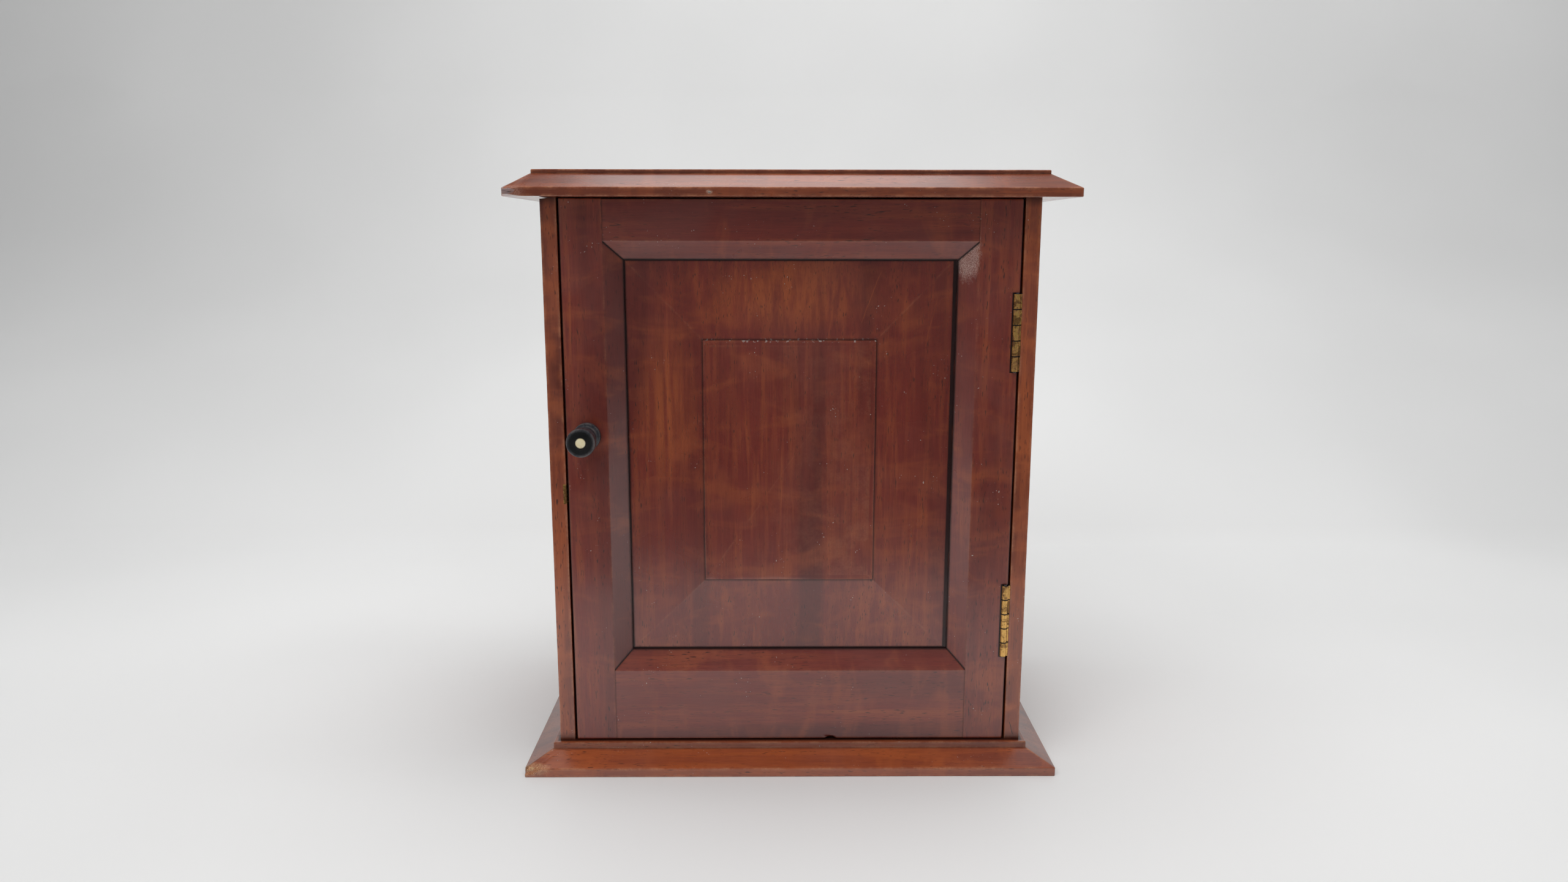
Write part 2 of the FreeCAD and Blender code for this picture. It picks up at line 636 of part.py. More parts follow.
def hinge_screws(label, sign):
    """Three screws in a leaf of each hinge: sign +1 into the side, -1 into the door."""
    flat = "Place.inner - Size.leaf_thickness" if sign > 0 else "Place.edge"
    screws = []
    for middle in ("Place.hinge_foot", "Place.hinge_head"):
        for row in (-1, 0, 1):
            place = (flat, "(Place.leaf_back + Size.knuckle_radius) / 2",
                     "%s + %d * Size.hinge_screw_pitch" % (middle, row))
            name = "%s_%s_%d" % (label, middle[-4:], row + 1)
            screws.append(sunk_screw(name, "+X" if sign > 0 else "-X", place,
                                     "Size.leaf_thickness", "Size.hinge_screw_length"))
    return keep(group(label, screws), label)


def hinge_pins():
    body = new_body("hinge_pins")
    for middle in ("Place.hinge_foot", "Place.hinge_head"):
        low, high = leaf_span(middle)
        pad_rods(body, "XY_Plane", low + " - Size.pin_end", high + " + Size.pin_end",
                 PIN_AXIS, "Size.pin_radius")
    return keep(body, "hinge_pins")


# ---------------------------------------------------------------- the door

def stile(label, sign, *let_in):
    """An upright of the door frame: bevelled and grooved, cut back for the rails' shoulders."""
    body = new_body(label + "_blank")
    pad_box(body, (times(sign, "Place.mouth"), "0", "Place.foot"),
            (times(sign, "Place.edge"), "Size.door_thickness", "Place.head"))
    extrude(body, "Pocket", "XY_Plane", "Place.foot", "Place.head",
            lambda drawing: polygon(drawing, (
                (times(sign, "Place.sight"), "0"),
                (times(sign, "Place.mouth"), "0"),
                (times(sign, "Place.mouth"), "Place.moulding_depth"))))
    pocket_box(body, (times(sign, "Place.mouth"), "Place.groove_front", "Place.foot"),
               (times(sign, "Place.mouth + Size.groove_depth"), "Place.groove_back", "Place.head"))
    for end, corner, inner in (("Place.head", "Place.head_sight", "Place.head_mouth"),
                               ("Place.foot", "Place.foot_sight", "Place.foot_mouth")):
        extrude(body, "Pocket", "XZ_Plane", "0", "Place.groove_front",
                lambda drawing: polygon(drawing, (
                    (times(sign, "Place.mouth"), end),
                    (times(sign, "Place.sight"), end),
                    (times(sign, "Place.sight"), corner),
                    (times(sign, "Place.mouth"), inner))))
    if sign == LEFT:
        bore(body, "YZ_Plane", "-Place.edge", "Size.catch_length - Place.edge",
             [("Place.catch_middle", "Size.catch_height")], "Size.catch_radius")
        bore(body, "YZ_Plane", "-Place.edge", "Size.catch_rim - Place.edge",
             [("Place.catch_middle", "Size.catch_height")], "Size.catch_rim_radius")
        bore(body, "XZ_Plane", "0", "Size.door_thickness",
             [("Place.knob_across", "Size.knob_height")], "Size.knob_screw_radius")
    else:
        for middle in ("Place.hinge_foot", "Place.hinge_head"):
            low, high = leaf_span(middle)
            bore(body, "XY_Plane", low + " - 2 * Size.pin_end", high + " + 2 * Size.pin_end",
                 PIN_AXIS, "Size.knuckle_radius + Size.knuckle_clearance")
            pocket_box(body, ("Place.edge - Size.leaf_thickness", "0", low),
                       ("Place.edge", "Place.leaf_back", high))
    if let_in:
        return less(label, body, *let_in)
    return keep(body, label)


def rail(label, end, corner, inner):
    """A rail of the door frame, mitred at its bevel, with a stub tenon in each stile's groove."""
    body = new_body(label)
    low, high = (end, inner) if end == "Place.foot" else (inner, end)
    extrude(body, "Pad", "XZ_Plane", "0", "Place.groove_front",
            lambda drawing: polygon(drawing, (
                ("-Place.sight", end), ("Place.sight", end), ("Place.sight", corner),
                ("Place.mouth", inner), ("-Place.mouth", inner), ("-Place.sight", corner))))
    tenon = "Place.mouth + Size.groove_depth - Size.tenon_gap"
    for half, start, depth in ((tenon, "Place.groove_front", "Place.groove_back"),
                               ("Place.mouth", "Place.groove_back", "Size.door_thickness")):
        pad_box(body, ("-(%s)" % half, start, low), (half, depth, high))
    groove_end = inner + (" - " if end == "Place.foot" else " + ") + "Size.groove_depth"
    groove_low, groove_high = (groove_end, inner) if end == "Place.foot" else (inner, groove_end)
    pocket_box(body, ("-(%s)" % tenon, "Place.groove_front", groove_low),
               (tenon, "Place.groove_back", groove_high))
    extrude(body, "Pocket", "YZ_Plane", "-Place.sight", "Place.sight",
            lambda drawing: polygon(drawing, (
                ("0", corner), ("0", inner), ("Place.moulding_depth", inner))))
    return keep(body, label)


def door_panel():
    """A panel with a tongue all round, a long slope and a raised field with a square step."""
    body = new_body("door_panel")
    middle = "(Place.foot_mouth + Place.head_mouth) / 2"
    reach = "(Place.head_mouth - Place.foot_mouth) / 2"

    def field(drawing):
        rectangle(drawing, "Size.panel_drift - Place.field_half",
                  "Size.panel_drift + Place.field_half",
                  "%s - (%s - Size.field_margin)" % (middle, reach),
                  "%s + (%s - Size.field_margin)" % (middle, reach))

    def slope_foot(drawing):
        rectangle(drawing, "Size.panel_drift - Place.slope_half",
                  "Size.panel_drift + Place.slope_half",
                  "Place.foot_mouth", "Place.head_mouth")

    pad_box(body, ("Size.panel_drift - Place.panel_half", "Place.tongue_front", "Place.panel_foot"),
            ("Size.panel_drift + Place.panel_half", "Place.tongue_back", "Place.panel_head"))
    wide = new_sketch(body, "XZ_Plane", "Place.tongue_front")
    slope_foot(wide)
    narrow = new_sketch(body, "XZ_Plane", "Place.slope_top")
    field(narrow)
    slope = body.newObject("PartDesign::AdditiveLoft", "door_panel_slope")
    slope.Profile = wide
    slope.Sections = [narrow]
    slope.Ruled = True
    extrude(body, "Pad", "XZ_Plane", "Size.field_depth", "Place.slope_top", field)
    return keep(body, "door_panel")


# ---------------------------------------------------------------- the knob

def knob_place(depth):
    return ("Place.knob_across", depth, "Size.knob_height")


def rounded(body, radius, wanted):
    """Round the body's circular edges whose distance along its axis and radius are wanted."""
    doc.recompute()
    before = body.Tip
    names = ["Edge%d" % number for number, edge in enumerate(before.Shape.Edges, start=1)
             if isinstance(edge.Curve, Part.Circle) and wanted(edge.Curve)]
    fillet = body.newObject("PartDesign::Fillet", body.Name + "_round")
    fillet.Base = (before, names)
    fillet.setExpression("Radius", radius)
    return fillet


def knob(inlay, screw):
    """A turned spool: a collar on the door, a waist, a ring and a round flat face."""
    body = new_body("knob_blank")
    axis = [("Place.knob_across", "Size.knob_height")]
    levels = (("-Size.knob_foot", "0", "Size.knob_foot_radius"),
              ("-Size.knob_reach", "0", "Size.knob_waist_radius"),
              ("Size.knob_face + Size.knob_round - Size.knob_reach",
               "Size.knob_face + Size.knob_round + Size.knob_bead - Size.knob_reach",
               "Size.knob_bead_radius"),
              ("-Size.knob_reach", "Size.knob_face - Size.knob_reach", "Size.knob_face_radius"))
    for start, end, radius in levels:
        pad_rods(body, "XZ_Plane", start, end, axis, radius)
    rounded(body, "Size.knob_round", lambda ring: ring.Radius > value("Size.knob_waist_radius") + 0.1
            and abs(ring.Center.y) > 0.1)
    return less("knob", body, inlay, screw)


def knob_inlay():
    body = new_body("knob_inlay")
    pad_rods(body, "XZ_Plane", "-Size.knob_reach", "Size.inlay_thickness - Size.knob_reach",
             [("Place.knob_across", "Size.knob_height")], "Size.inlay_radius")
    return keep(body, "knob_inlay")


def knob_screw():
    """The screw that goes through the closing stile from inside."""
    axis = [("Place.knob_across", "Size.knob_height")]
    body = new_body("knob_screw")
    under = "Size.door_thickness + Size.washer_thickness"
    pad_rods(body, "XZ_Plane", "-Size.knob_screw_sink", under, axis, "Size.knob_screw_radius")
    pad_rods(body, "XZ_Plane", under, under + " + Size.knob_screw_head", axis,
             "Size.knob_screw_head_radius")
    return keep(body, "knob_screw")


def knob_washer():
    axis = [("Place.knob_across", "Size.knob_height")]
    body = new_body("knob_washer")
    far = "Size.door_thickness + Size.washer_thickness"
    pad_rods(body, "XZ_Plane", "Size.door_thickness", far, axis, "Size.washer_radius")
    bore(body, "XZ_Plane", "Size.door_thickness", far, axis, "Size.knob_screw_radius")
    return keep(body, "knob_washer")


# ---------------------------------------------------------------- putting it together

base_dowels = dowels("base_dowels", "Place.deck")
top_dowels = dowels("top_dowels", "Place.roof")
less("base_board", moulded_board("base_board", "0", "base"), base_dowels)
less("top_board", moulded_board("top_board", "Place.roof", "top"), top_dowels)

case_screws = hinge_screws("hinge_case_screws", RIGHT)
door_screws = hinge_screws("hinge_door_screws", LEFT)
screws_in_back = back_screws()
pins_in_strike = strike_pins()
plate = strike_plate(pins_in_strike)
side("side_left", LEFT, base_dowels, top_dowels, screws_in_back, plate, pins_in_strike)
side("side_right", RIGHT, base_dowels, top_dowels, screws_in_back, case_screws)

back = new_body("back_panel_blank")
pad_box(back, ("Size.back_gap - Place.inner - Size.back_rebate", "Place.back_face", "Place.deck"),
        ("Place.inner + Size.back_rebate - Size.back_gap", "Size.carcase_depth", "Place.roof"))
less("back_panel", back, screws_in_back)

shelf("lower_shelf", "Place.lower_shelf")
shelf("upper_shelf", "Place.upper_shelf")
lining("floor_lining", "Place.deck")
lining("lower_shelf_lining", "Place.lower_shelf + Size.shelf_thickness")
lining("upper_shelf_lining", "Place.upper_shelf + Size.shelf_thickness")
peg_rail(necklace_pegs())
door_stops()

UPPER_HINGE = (0, 2, 4), (1, 3)
LOWER_HINGE = (1, 3), (0, 2, 4)
hinge_pins()
for place, middle, (door_numbers, case_numbers) in (
        ("upper", "Place.hinge_head", UPPER_HINGE), ("lower", "Place.hinge_foot", LOWER_HINGE)):
    door_leaf("%s_hinge_door_leaf" % place, middle, door_numbers, door_screws)
    case_leaf("%s_hinge_case_leaf" % place, middle, case_numbers, case_screws)

stile("closing_stile", LEFT)
stile("hanging_stile", RIGHT, door_screws)
rail("top_rail", "Place.head", "Place.head_sight", "Place.head_mouth")
rail("bottom_rail", "Place.foot", "Place.foot_sight", "Place.foot_mouth")
door_panel()

knob(knob_inlay(), knob_screw())
knob_washer()
catch_barrel()
catch_bullet()
catch_spring()

doc.recompute()


# ---------------------------------------------------------------- tests and files

def volume(thing):
    return thing.Shape.Volume


failed = [item.Label for item in doc.Objects
          if any(word in item.State for word in ("Invalid", "Error"))]
if failed:
    raise RuntimeError("failed features: " + ", ".join(failed))
idle = [cut.Label for cut, before in cuts if volume(cut) > volume(before) - 0.01]
if idle:
    raise RuntimeError("cuts that take nothing away: " + ", ".join(idle))
for node in nodes:
    if node.Shape.isNull() or not node.Shape.isValid() or not node.Shape.Solids:
        raise RuntimeError("bad shape: " + node.Label)

os.makedirs(OUTPUT, exist_ok=True)
for node in nodes:
    node.Shape.exportStep(os.path.join(OUTPUT, node.Label + ".step"))
    print("%-24s %2d solids %12.1f mm3" % (node.Label, len(node.Shape.Solids), node.Shape.Volume))
print(len(nodes), "nodes")
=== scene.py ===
import math
from collections import namedtuple

import bpy
import numpy as np
from bpy.props import FloatProperty, FloatVectorProperty, IntProperty, PointerProperty
from mathutils import Matrix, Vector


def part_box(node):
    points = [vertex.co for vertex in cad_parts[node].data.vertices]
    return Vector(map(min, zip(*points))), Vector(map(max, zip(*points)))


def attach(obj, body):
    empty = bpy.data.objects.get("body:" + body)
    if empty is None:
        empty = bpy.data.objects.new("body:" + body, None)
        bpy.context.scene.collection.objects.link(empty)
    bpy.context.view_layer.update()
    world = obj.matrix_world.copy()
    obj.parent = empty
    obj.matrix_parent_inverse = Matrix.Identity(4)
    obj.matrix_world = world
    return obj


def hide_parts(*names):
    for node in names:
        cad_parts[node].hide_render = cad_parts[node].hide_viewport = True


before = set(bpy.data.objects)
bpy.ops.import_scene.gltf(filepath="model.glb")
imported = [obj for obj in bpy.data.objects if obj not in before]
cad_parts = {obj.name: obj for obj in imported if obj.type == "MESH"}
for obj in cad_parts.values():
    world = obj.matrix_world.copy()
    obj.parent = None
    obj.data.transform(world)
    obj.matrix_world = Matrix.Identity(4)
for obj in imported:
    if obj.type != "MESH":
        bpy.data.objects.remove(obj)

bl_info = {
    "name": "Jewelry armoire",
    "version": (1, 0, 0),
    "blender": (4, 5, 0),
    "location": "View3D > Sidebar > Armoire",
    "description": "Builds the visible pieces of a table-top jewellery cabinet round its CAD frame",
    "category": "Object",
}

MM = 0.001
X, Y, Z = 0, 1, 2
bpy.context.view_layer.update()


def cad_box(node):
    """The low and high corners of a CAD node, as arrays."""
    low, high = (np.array(corner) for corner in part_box(node))
    return low, high


SIDE_LOW, SIDE_HIGH = cad_box("side_left")
BASE_LOW, BASE_HIGH = cad_box("base_board")
TOP_LOW, TOP_HIGH = cad_box("top_board")
STILE_LOW, STILE_HIGH = cad_box("closing_stile")
RAIL_LOW, RAIL_HIGH = cad_box("top_rail")
FOOT_LOW, FOOT_HIGH = cad_box("bottom_rail")
PANEL_LOW, PANEL_HIGH = cad_box("door_panel")
KNOB_LOW, KNOB_HIGH = cad_box("knob")
INLAY_LOW, INLAY_HIGH = cad_box("knob_inlay")
STRIKE_LOW, STRIKE_HIGH = cad_box("strike_plate")
BULLET_LOW, BULLET_HIGH = cad_box("catch_bullet")
FRONT = SIDE_LOW[Y]


# ---------------------------------------------------------------- sizes and colours


def size(name, description, default, low=0.0, high=1.0):
    """A length in metres that the panel shows."""
    return FloatProperty(name=name, description=description, default=default, min=low,
                         max=high, unit="LENGTH", subtype="DISTANCE", precision=5)


def colour(name, description, default):
    """A colour that the panel shows, in linear light."""
    return FloatVectorProperty(name=name, description=description, default=default, size=3,
                               min=0.0, max=1.0, subtype="COLOR")


class CaseSizes(bpy.types.PropertyGroup):
    """Sizes of the base, the top and the sides"""

    arris: size("Arris", "Radius that the case's edges are rubbed to", 0.7 * MM)
    base_edge: size("Base edge", "Height of the base's square edge", 6.0 * MM)
    base_slope: size("Base slope", "Height at which the base's slope ends", 12.95 * MM)
    base_step: size("Base step", "How far the base's raised field stands past the sides",
                    4.2 * MM)
    top_edge: size("Top edge", "Height of the top's square edge", 5.5 * MM)
    top_slope: size("Top slope", "Height at which the top's slope ends", 14.6 * MM)
    top_step: size("Top step", "How far the top's raised field stands past the sides",
                   4.0 * MM)
    rebate: size("Rebate", "Width and depth of the sides' rebate for the back", 5.0 * MM)
    settled: size("Settled gap", "Gap under the top where the left side has shrunk away",
                  0.9 * MM)


class DoorSizes(bpy.types.PropertyGroup):
    """Sizes of the door's frame and panel"""

    arris: size("Arris", "Radius that the door's edges are rubbed to", 0.8 * MM)
    bevel: size("Bevel width", "Width of the bevel round the opening", 11.8 * MM)
    fall: size("Bevel fall", "Depth that the bevel falls to", 10.6 * MM)
    groove: size("Groove depth", "Depth of the groove that the panel slides in", 6.0 * MM)
    slope: size("Panel slope", "Width of the slope round the panel's field", 51.0 * MM)
    step: size("Field step", "Height of the step round the field", 1.0 * MM)
    rise: size("Slope rise", "How far the slope rises towards the field", 6.9 * MM)
    nick: size("Nick", "Depth of the nick in the door's foot", 1.3 * MM)


class FittingSizes(bpy.types.PropertyGroup):
    """Sizes of the knob, the pegs and the strike plate"""

    strike_plate: size("Strike plate", "Thickness of the strike plate's brass", 0.8 * MM)
    strike_hole: size("Strike hole", "Radius of the hole the bullet drops into", 2.5 * MM)
    strike_depth: size("Strike hole depth", "Depth of that hole, plate included", 2.6 * MM)
    waist: size("Knob waist", "Radius of the knob between its flanges", 6.6 * MM)
    collar: size("Knob collar", "Thickness of the knob's collar against the door", 3.0 * MM)
    bead: size("Knob bead", "Thickness of the bead behind the knob's face", 2.4 * MM)
    face: size("Knob face", "Thickness of the knob's face disc", 6.2 * MM)
    peg: size("Peg shank", "Radius of a necklace peg's shank", 1.7 * MM)
    turns: IntProperty(name="Turned facets", description="Facets round a turned piece",
                       default=72, min=16, max=256)


class FinishColours(bpy.types.PropertyGroup):
    """Colours of the wood, the metal and the cloth"""

    wood_dark: colour("Dark mahogany", "Darkest of the grain", (0.090, 0.0125, 0.0095))
    wood_red: colour("Red mahogany", "Most of the door's grain", (0.215, 0.030, 0.019))
    wood_glow: colour("Orange mahogany", "Where the grain catches the light",
                      (0.420, 0.098, 0.028))
    wood_case: colour("Case mahogany", "Browner wood of the sides, base and top",
                      (0.330, 0.072, 0.027))
    wood_inside: colour("Inner mahogany", "Oiled wood inside the case",
                        (0.225, 0.088, 0.046))
    wood_back: colour("Back board", "Stained, unpolished wood", (0.190, 0.086, 0.044))
    wood_dowel: colour("Dowel", "Plain beech", (0.560, 0.380, 0.220))
    haze: colour("Haze", "Bloom in the old polish", (0.240, 0.095, 0.080))
    worn: colour("Worn arris", "Where the polish is rubbed off an edge",
                 (0.520, 0.200, 0.095))
    bare: colour("Bare wood", "Fresh wood in the chipped corner", (0.740, 0.470, 0.230))
    # Dark for pores and splinters, and for dirt and painted shade in the corners, gaps and joints
    grime: colour("Grime", "Dirt in the corners and joints", (0.010, 0.006, 0.007))
    brass: colour("Brass", "Rubbed brass", (0.920, 0.540, 0.165))
    tarnish: colour("Tarnish", "Old brass", (0.300, 0.140, 0.052))
    steel: colour("Steel", "Dull bright steel", (0.540, 0.540, 0.550))
    ebony: colour("Ebony", "Turned knob", (0.017, 0.019, 0.026))
    bone: colour("Bone", "Yellowed inlay", (0.930, 0.800, 0.490))
    velvet: colour("Velvet", "Lining", (0.030, 0.085, 0.050))
    wall: colour("Backdrop", "Paper behind and under the armoire", (0.900, 0.900, 0.895))


def sizes_of(name):
    """One of the scene's groups of settings, by its name."""
    return getattr(bpy.context.scene, name)


def grey(value):
    """A grey of one value, above 1 where it brightens what it multiplies."""
    return (value,) * 3


def scaled(tone, share):
    """A colour made darker or lighter by a share, and no lighter than white."""
    return tuple(min(1.0, share * part) for part in tone)


# ---------------------------------------------------------------- surfaces


SHOULDER_NEAR = 0.25 * MM
SHOULDER_FAR = 1.5 * MM
SHOULDER_MARK = 0.55
ARC_STEPS = 4
SHARP_ANGLE = math.radians(38)


def softened(corners, radii, closed=False, steps=ARC_STEPS):
    """Points of a profile whose corners are rounded, and a mark that is 1 on each round.

    At a corner whose edges enclose the angle 2h, the round starts at radius / tan(h) along
    both edges, and its centre lies on the bisector at radius / sin(h). Its points turn
    evenly from one start to the other. Two more points follow on each edge, where the mark
    falls to nothing, and they draw in where the edge is short.
    """
    corners = np.asarray(corners, float)
    radii = np.broadcast_to(np.asarray(radii, float), len(corners)).copy()
    if not closed:
        radii[[0, -1]] = 0.0
    back = np.roll(corners, 1, 0) - corners
    ahead = np.roll(corners, -1, 0) - corners
    ahead_length = np.linalg.norm(ahead, axis=1, keepdims=True)
    back = back / np.linalg.norm(back, axis=1, keepdims=True)
    ahead = ahead / ahead_length
    half = np.arccos(np.clip((back * ahead).sum(1), -1, 1)) / 2
    half = np.clip(half, 0.01, math.pi / 2 - 0.01)[:, None]
    radii = radii[:, None]
    reach = radii / np.tan(half)
    middle = back + ahead
    middle = middle / np.maximum(np.linalg.norm(middle, axis=1, keepdims=True), 1e-9)
    centre = corners + middle * radii / np.sin(half)
    sweep = (math.pi - 2 * half)[:, None]
    part = np.linspace(0, 1, steps + 1)[None, :, None]
    start = (corners + back * reach - centre)[:, None]
    stop = (corners + ahead * reach - centre)[:, None]
    arc = np.sin((1 - part) * sweep) * start + np.sin(part * sweep) * stop
    arc = centre[:, None] + arc / np.sin(sweep)
    free = np.maximum(ahead_length - reach - np.roll(reach, -1, 0), 0)
    run = np.array([SHOULDER_NEAR, SHOULDER_FAR])[None, :, None]
    squeeze_ahead = np.minimum(1, 0.48 * free / SHOULDER_FAR)[:, None]
    squeeze_back = np.roll(squeeze_ahead, 1, 0)
    after = corners[:, None] + ahead[:, None] * (reach[:, None] + run * squeeze_ahead)
    before = corners[:, None] + back[:, None] * (reach[:, None] + run * squeeze_back)
    blocks = np.concatenate([before[:, ::-1], arc, after], axis=1)
    mark = np.concatenate([[0, SHOULDER_MARK], np.ones(steps + 1), [SHOULDER_MARK, 0]])
    marks = np.tile(mark, (len(corners), 1))
    if closed:
        return blocks.reshape(-1, 2), marks.ravel()
    points = np.concatenate([corners[:1], blocks[1:-1].reshape(-1, 2), corners[-1:]])
    return points, np.concatenate([[0], marks[1:-1].ravel(), [0]])


def divided(points, marks, cells):
    """The same profile with its longest edge cut into equal cells."""
    lengths = np.linalg.norm(np.diff(points, axis=0), axis=1)
    at = int(np.argmax(lengths))
    part = np.linspace(0, 1, cells + 1)[1:-1, None]
    extra = points[at] * (1 - part) + points[at + 1] * part
    marks = np.insert(marks, at + 1, np.zeros(cells - 1))
    return np.insert(points, [at + 1] * (cells - 1), extra, axis=0), marks


def outline(corner, cells):
    """A rounded rectangle, once round, as a share of its width and height plus an offset.

    Each corner is a quarter circle with two points on the edge either side of it. Between
    them each edge is cut at shares (1 - cos) / 2, so that its points crowd towards the
    corners. Returns shares, offsets in metres and a mark that is 1 on the quarter circles.
    """
    angle = np.linspace(0, math.pi / 2, ARC_STEPS + 1)
    arc = corner * np.column_stack([1 - np.cos(angle), 1 - np.sin(angle)])
    near, far = corner + SHOULDER_NEAR, corner + SHOULDER_FAR
    turn = np.concatenate([[[0, far], [0, near]], arc, [[near, 0], [far, 0]]])
    turn_mark = np.concatenate([[0, SHOULDER_MARK], np.ones(len(arc)), [SHOULDER_MARK, 0]])
    share = (1 - np.cos(np.linspace(0, math.pi, cells + 1)[1:-1])) / 2
    edge = np.column_stack([share, np.zeros(len(share))])
    inset = np.column_stack([far * (1 - 2 * share), np.zeros(len(share))])
    quarter = np.array([[0.0, -1.0], [1.0, 0.0]])
    shares, offsets, marks = [], [], []
    start = np.zeros(2)
    for _ in range(4):
        shares += [np.tile(start, (len(turn), 1)), edge]
        offsets += [turn, inset]
        marks += [turn_mark, np.zeros(len(edge))]
        turn = turn @ quarter.T
        inset = inset @ quarter.T
        edge = (edge - 0.5) @ quarter.T + 0.5
        start = (start - 0.5) @ quarter.T + 0.5
    return np.concatenate(shares), np.concatenate(offsets), np.concatenate(marks)


def shell(rings, arris, grime=None, caps=None):
    """A closed skin over rings of points, as points, faces and two marks.

    Point j of ring i, its neighbour in the ring and the same two of the next ring make one
    four-sided face. The first and last rings are closed by flat faces, and all faces are
    turned round if the volume that they enclose comes out negative.
    """
    count, around = rings.shape[:2]
    index = np.arange(count * around).reshape(count, around)
    beside = np.roll(index, -1, axis=1)
    quads = np.stack([index[:-1], beside[:-1], beside[1:], index[1:]], axis=-1)
    quads = quads.reshape(-1, 4)
    caps = caps or [np.arange(around)]
    ends = [index[0][cap][::-1] for cap in caps] + [index[-1][cap] for cap in caps]
    points = rings.reshape(-1, 3)
    hub = points.mean(0)
    volume = 0.0
    for face in [quads.T] + [end[:, None] for end in ends]:
        loop = points[face] - hub
        cross = np.cross(loop[1:-1], loop[2:])
        volume += float((loop[:1] * cross).sum())
    if volume < 0:
        quads = quads[:, ::-1]
        ends = [end[::-1] for end in ends]
    grime = np.zeros(arris.shape) if grime is None else grime
    return points, quads.tolist() + [end.tolist() for end in ends], arris.ravel(), grime.ravel()


def stacked(along, lows, highs, levels, marks, corner, cells):
    """Rounded rectangles set one behind another along an axis, as the rings of a shell.

    Ring i is the outline between lows[i] and highs[i], in the plane across the axis, at
    levels[i]: low + share * (high - low) + offset.
    """
    across, up = ((Y, Z), (Z, X), (X, Y))[along]
    shares, offsets, edge_marks = outline(corner, cells)
    span = (highs - lows)[:, None, :]
    flat = lows[:, None, :] + shares[None] * span + offsets[None]
    rings = np.empty(flat.shape[:2] + (3,))
    rings[..., across] = flat[..., 0]
    rings[..., up] = flat[..., 1]
    rings[..., along] = levels[:, None]
    arris = np.maximum(marks[:, None], edge_marks[None, :])
    return rings, arris


def board(low, high, along, arris, cells=24, lengths=24):
    """A sawn board with rubbed edges: one outline, drawn in at both ends along a round."""
    low, high = np.asarray(low, float), np.asarray(high, float)
    across = [(Y, Z), (Z, X), (X, Y)][along]
    draw = min(3 * MM, 0.3 * float((high - low)[list(across)].min()))
    profile, marks = softened([[-draw, low[along]], [0, low[along]], [0, high[along]],
                               [-draw, high[along]]], arris)
    profile, marks = divided(profile, marks, lengths)
    spread = profile[:, :1]
    return stacked(along, low[list(across)] - spread, high[list(across)] + spread,
                   profile[:, 1], marks, arris, cells)


def wavering(points, amount, seed, shortest=9 * MM, longest=70 * MM):
    """A small wander at each point: six sine waves of the position, in seeded directions."""
    seeded = np.random.default_rng(seed)
    ways = seeded.normal(size=(6, 3))
    ways /= np.linalg.norm(ways, axis=1, keepdims=True)
    lengths = np.geomspace(shortest, longest, 6)
    phase = seeded.uniform(0, 2 * math.pi, (6, 3))
    turn = points @ (ways / lengths[:, None]).T * 2 * math.pi
    return amount * np.sin(turn[..., None] + phase).mean(-2)


def fade(value, start, stop):
    """0 before start, 1 after stop, and a smooth S between: 3t squared less 2t cubed."""
    part = np.clip((value - start) / (stop - start), 0, 1)
    return part * part * (3 - 2 * part)


def turned(profile, marks, centre, axis, facets):
    """A lathe-turned shell: each profile point (radius, travel) becomes a circle of that
    radius, at that travel along the axis from the centre."""
    angle = np.linspace(0, 2 * math.pi, facets, endpoint=False)
    axis = np.asarray(axis, float)
    side = np.cross(axis, [0.3, 0.2, 0.9] if abs(axis[Z]) < 0.9 else [0.9, 0.3, 0.2])
    side /= np.linalg.norm(side)
    other = np.cross(axis, side)
    circle = np.cos(angle)[:, None] * side + np.sin(angle)[:, None] * other
    rings = np.asarray(centre) + profile[:, 1, None, None] * axis
    rings = rings + profile[:, 0, None, None] * circle[None]
    return rings, np.repeat(marks[:, None], facets, axis=1)


def put(name, shells, finish, body, slot, stands_for=()):
    """Makes one object from shells, marks its arrises and its grime and painted shade, and ties it
    to the frame.
    """
    points, faces, arris, grime = [], [], [], []
    start = 0
    for part in shells:
        points.append(part[0])
        faces += [[corner + start for corner in face] for face in part[1]]
        arris.append(part[2])
        grime.append(part[3])
        start += len(part[0])
    mesh = bpy.data.meshes.new(name)
    mesh.from_pydata(np.concatenate(points).tolist(), [], faces)
    for label, values in (("arris", arris), ("grime", grime)):
        layer = mesh.attributes.new(label, "FLOAT", "POINT")
        layer.data.foreach_set("value", np.concatenate(values).astype(np.float32))
    mesh.shade_smooth()
    mesh.set_sharp_from_angle(angle=SHARP_ANGLE)
    mesh.materials.append(finish)
    mesh.validate()
    piece = bpy.data.objects.new(name, mesh)
    bpy.context.scene.collection.objects.link(piece)
    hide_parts(*stands_for)
    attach(piece, body)
    return piece


def repaint(finish, *nodes):
    """Gives CAD nodes whose shape is right a better material."""
    for node in nodes:
        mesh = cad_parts[node].data
        mesh.materials.clear()
        mesh.materials.append(finish)


# ---------------------------------------------------------------- finishes


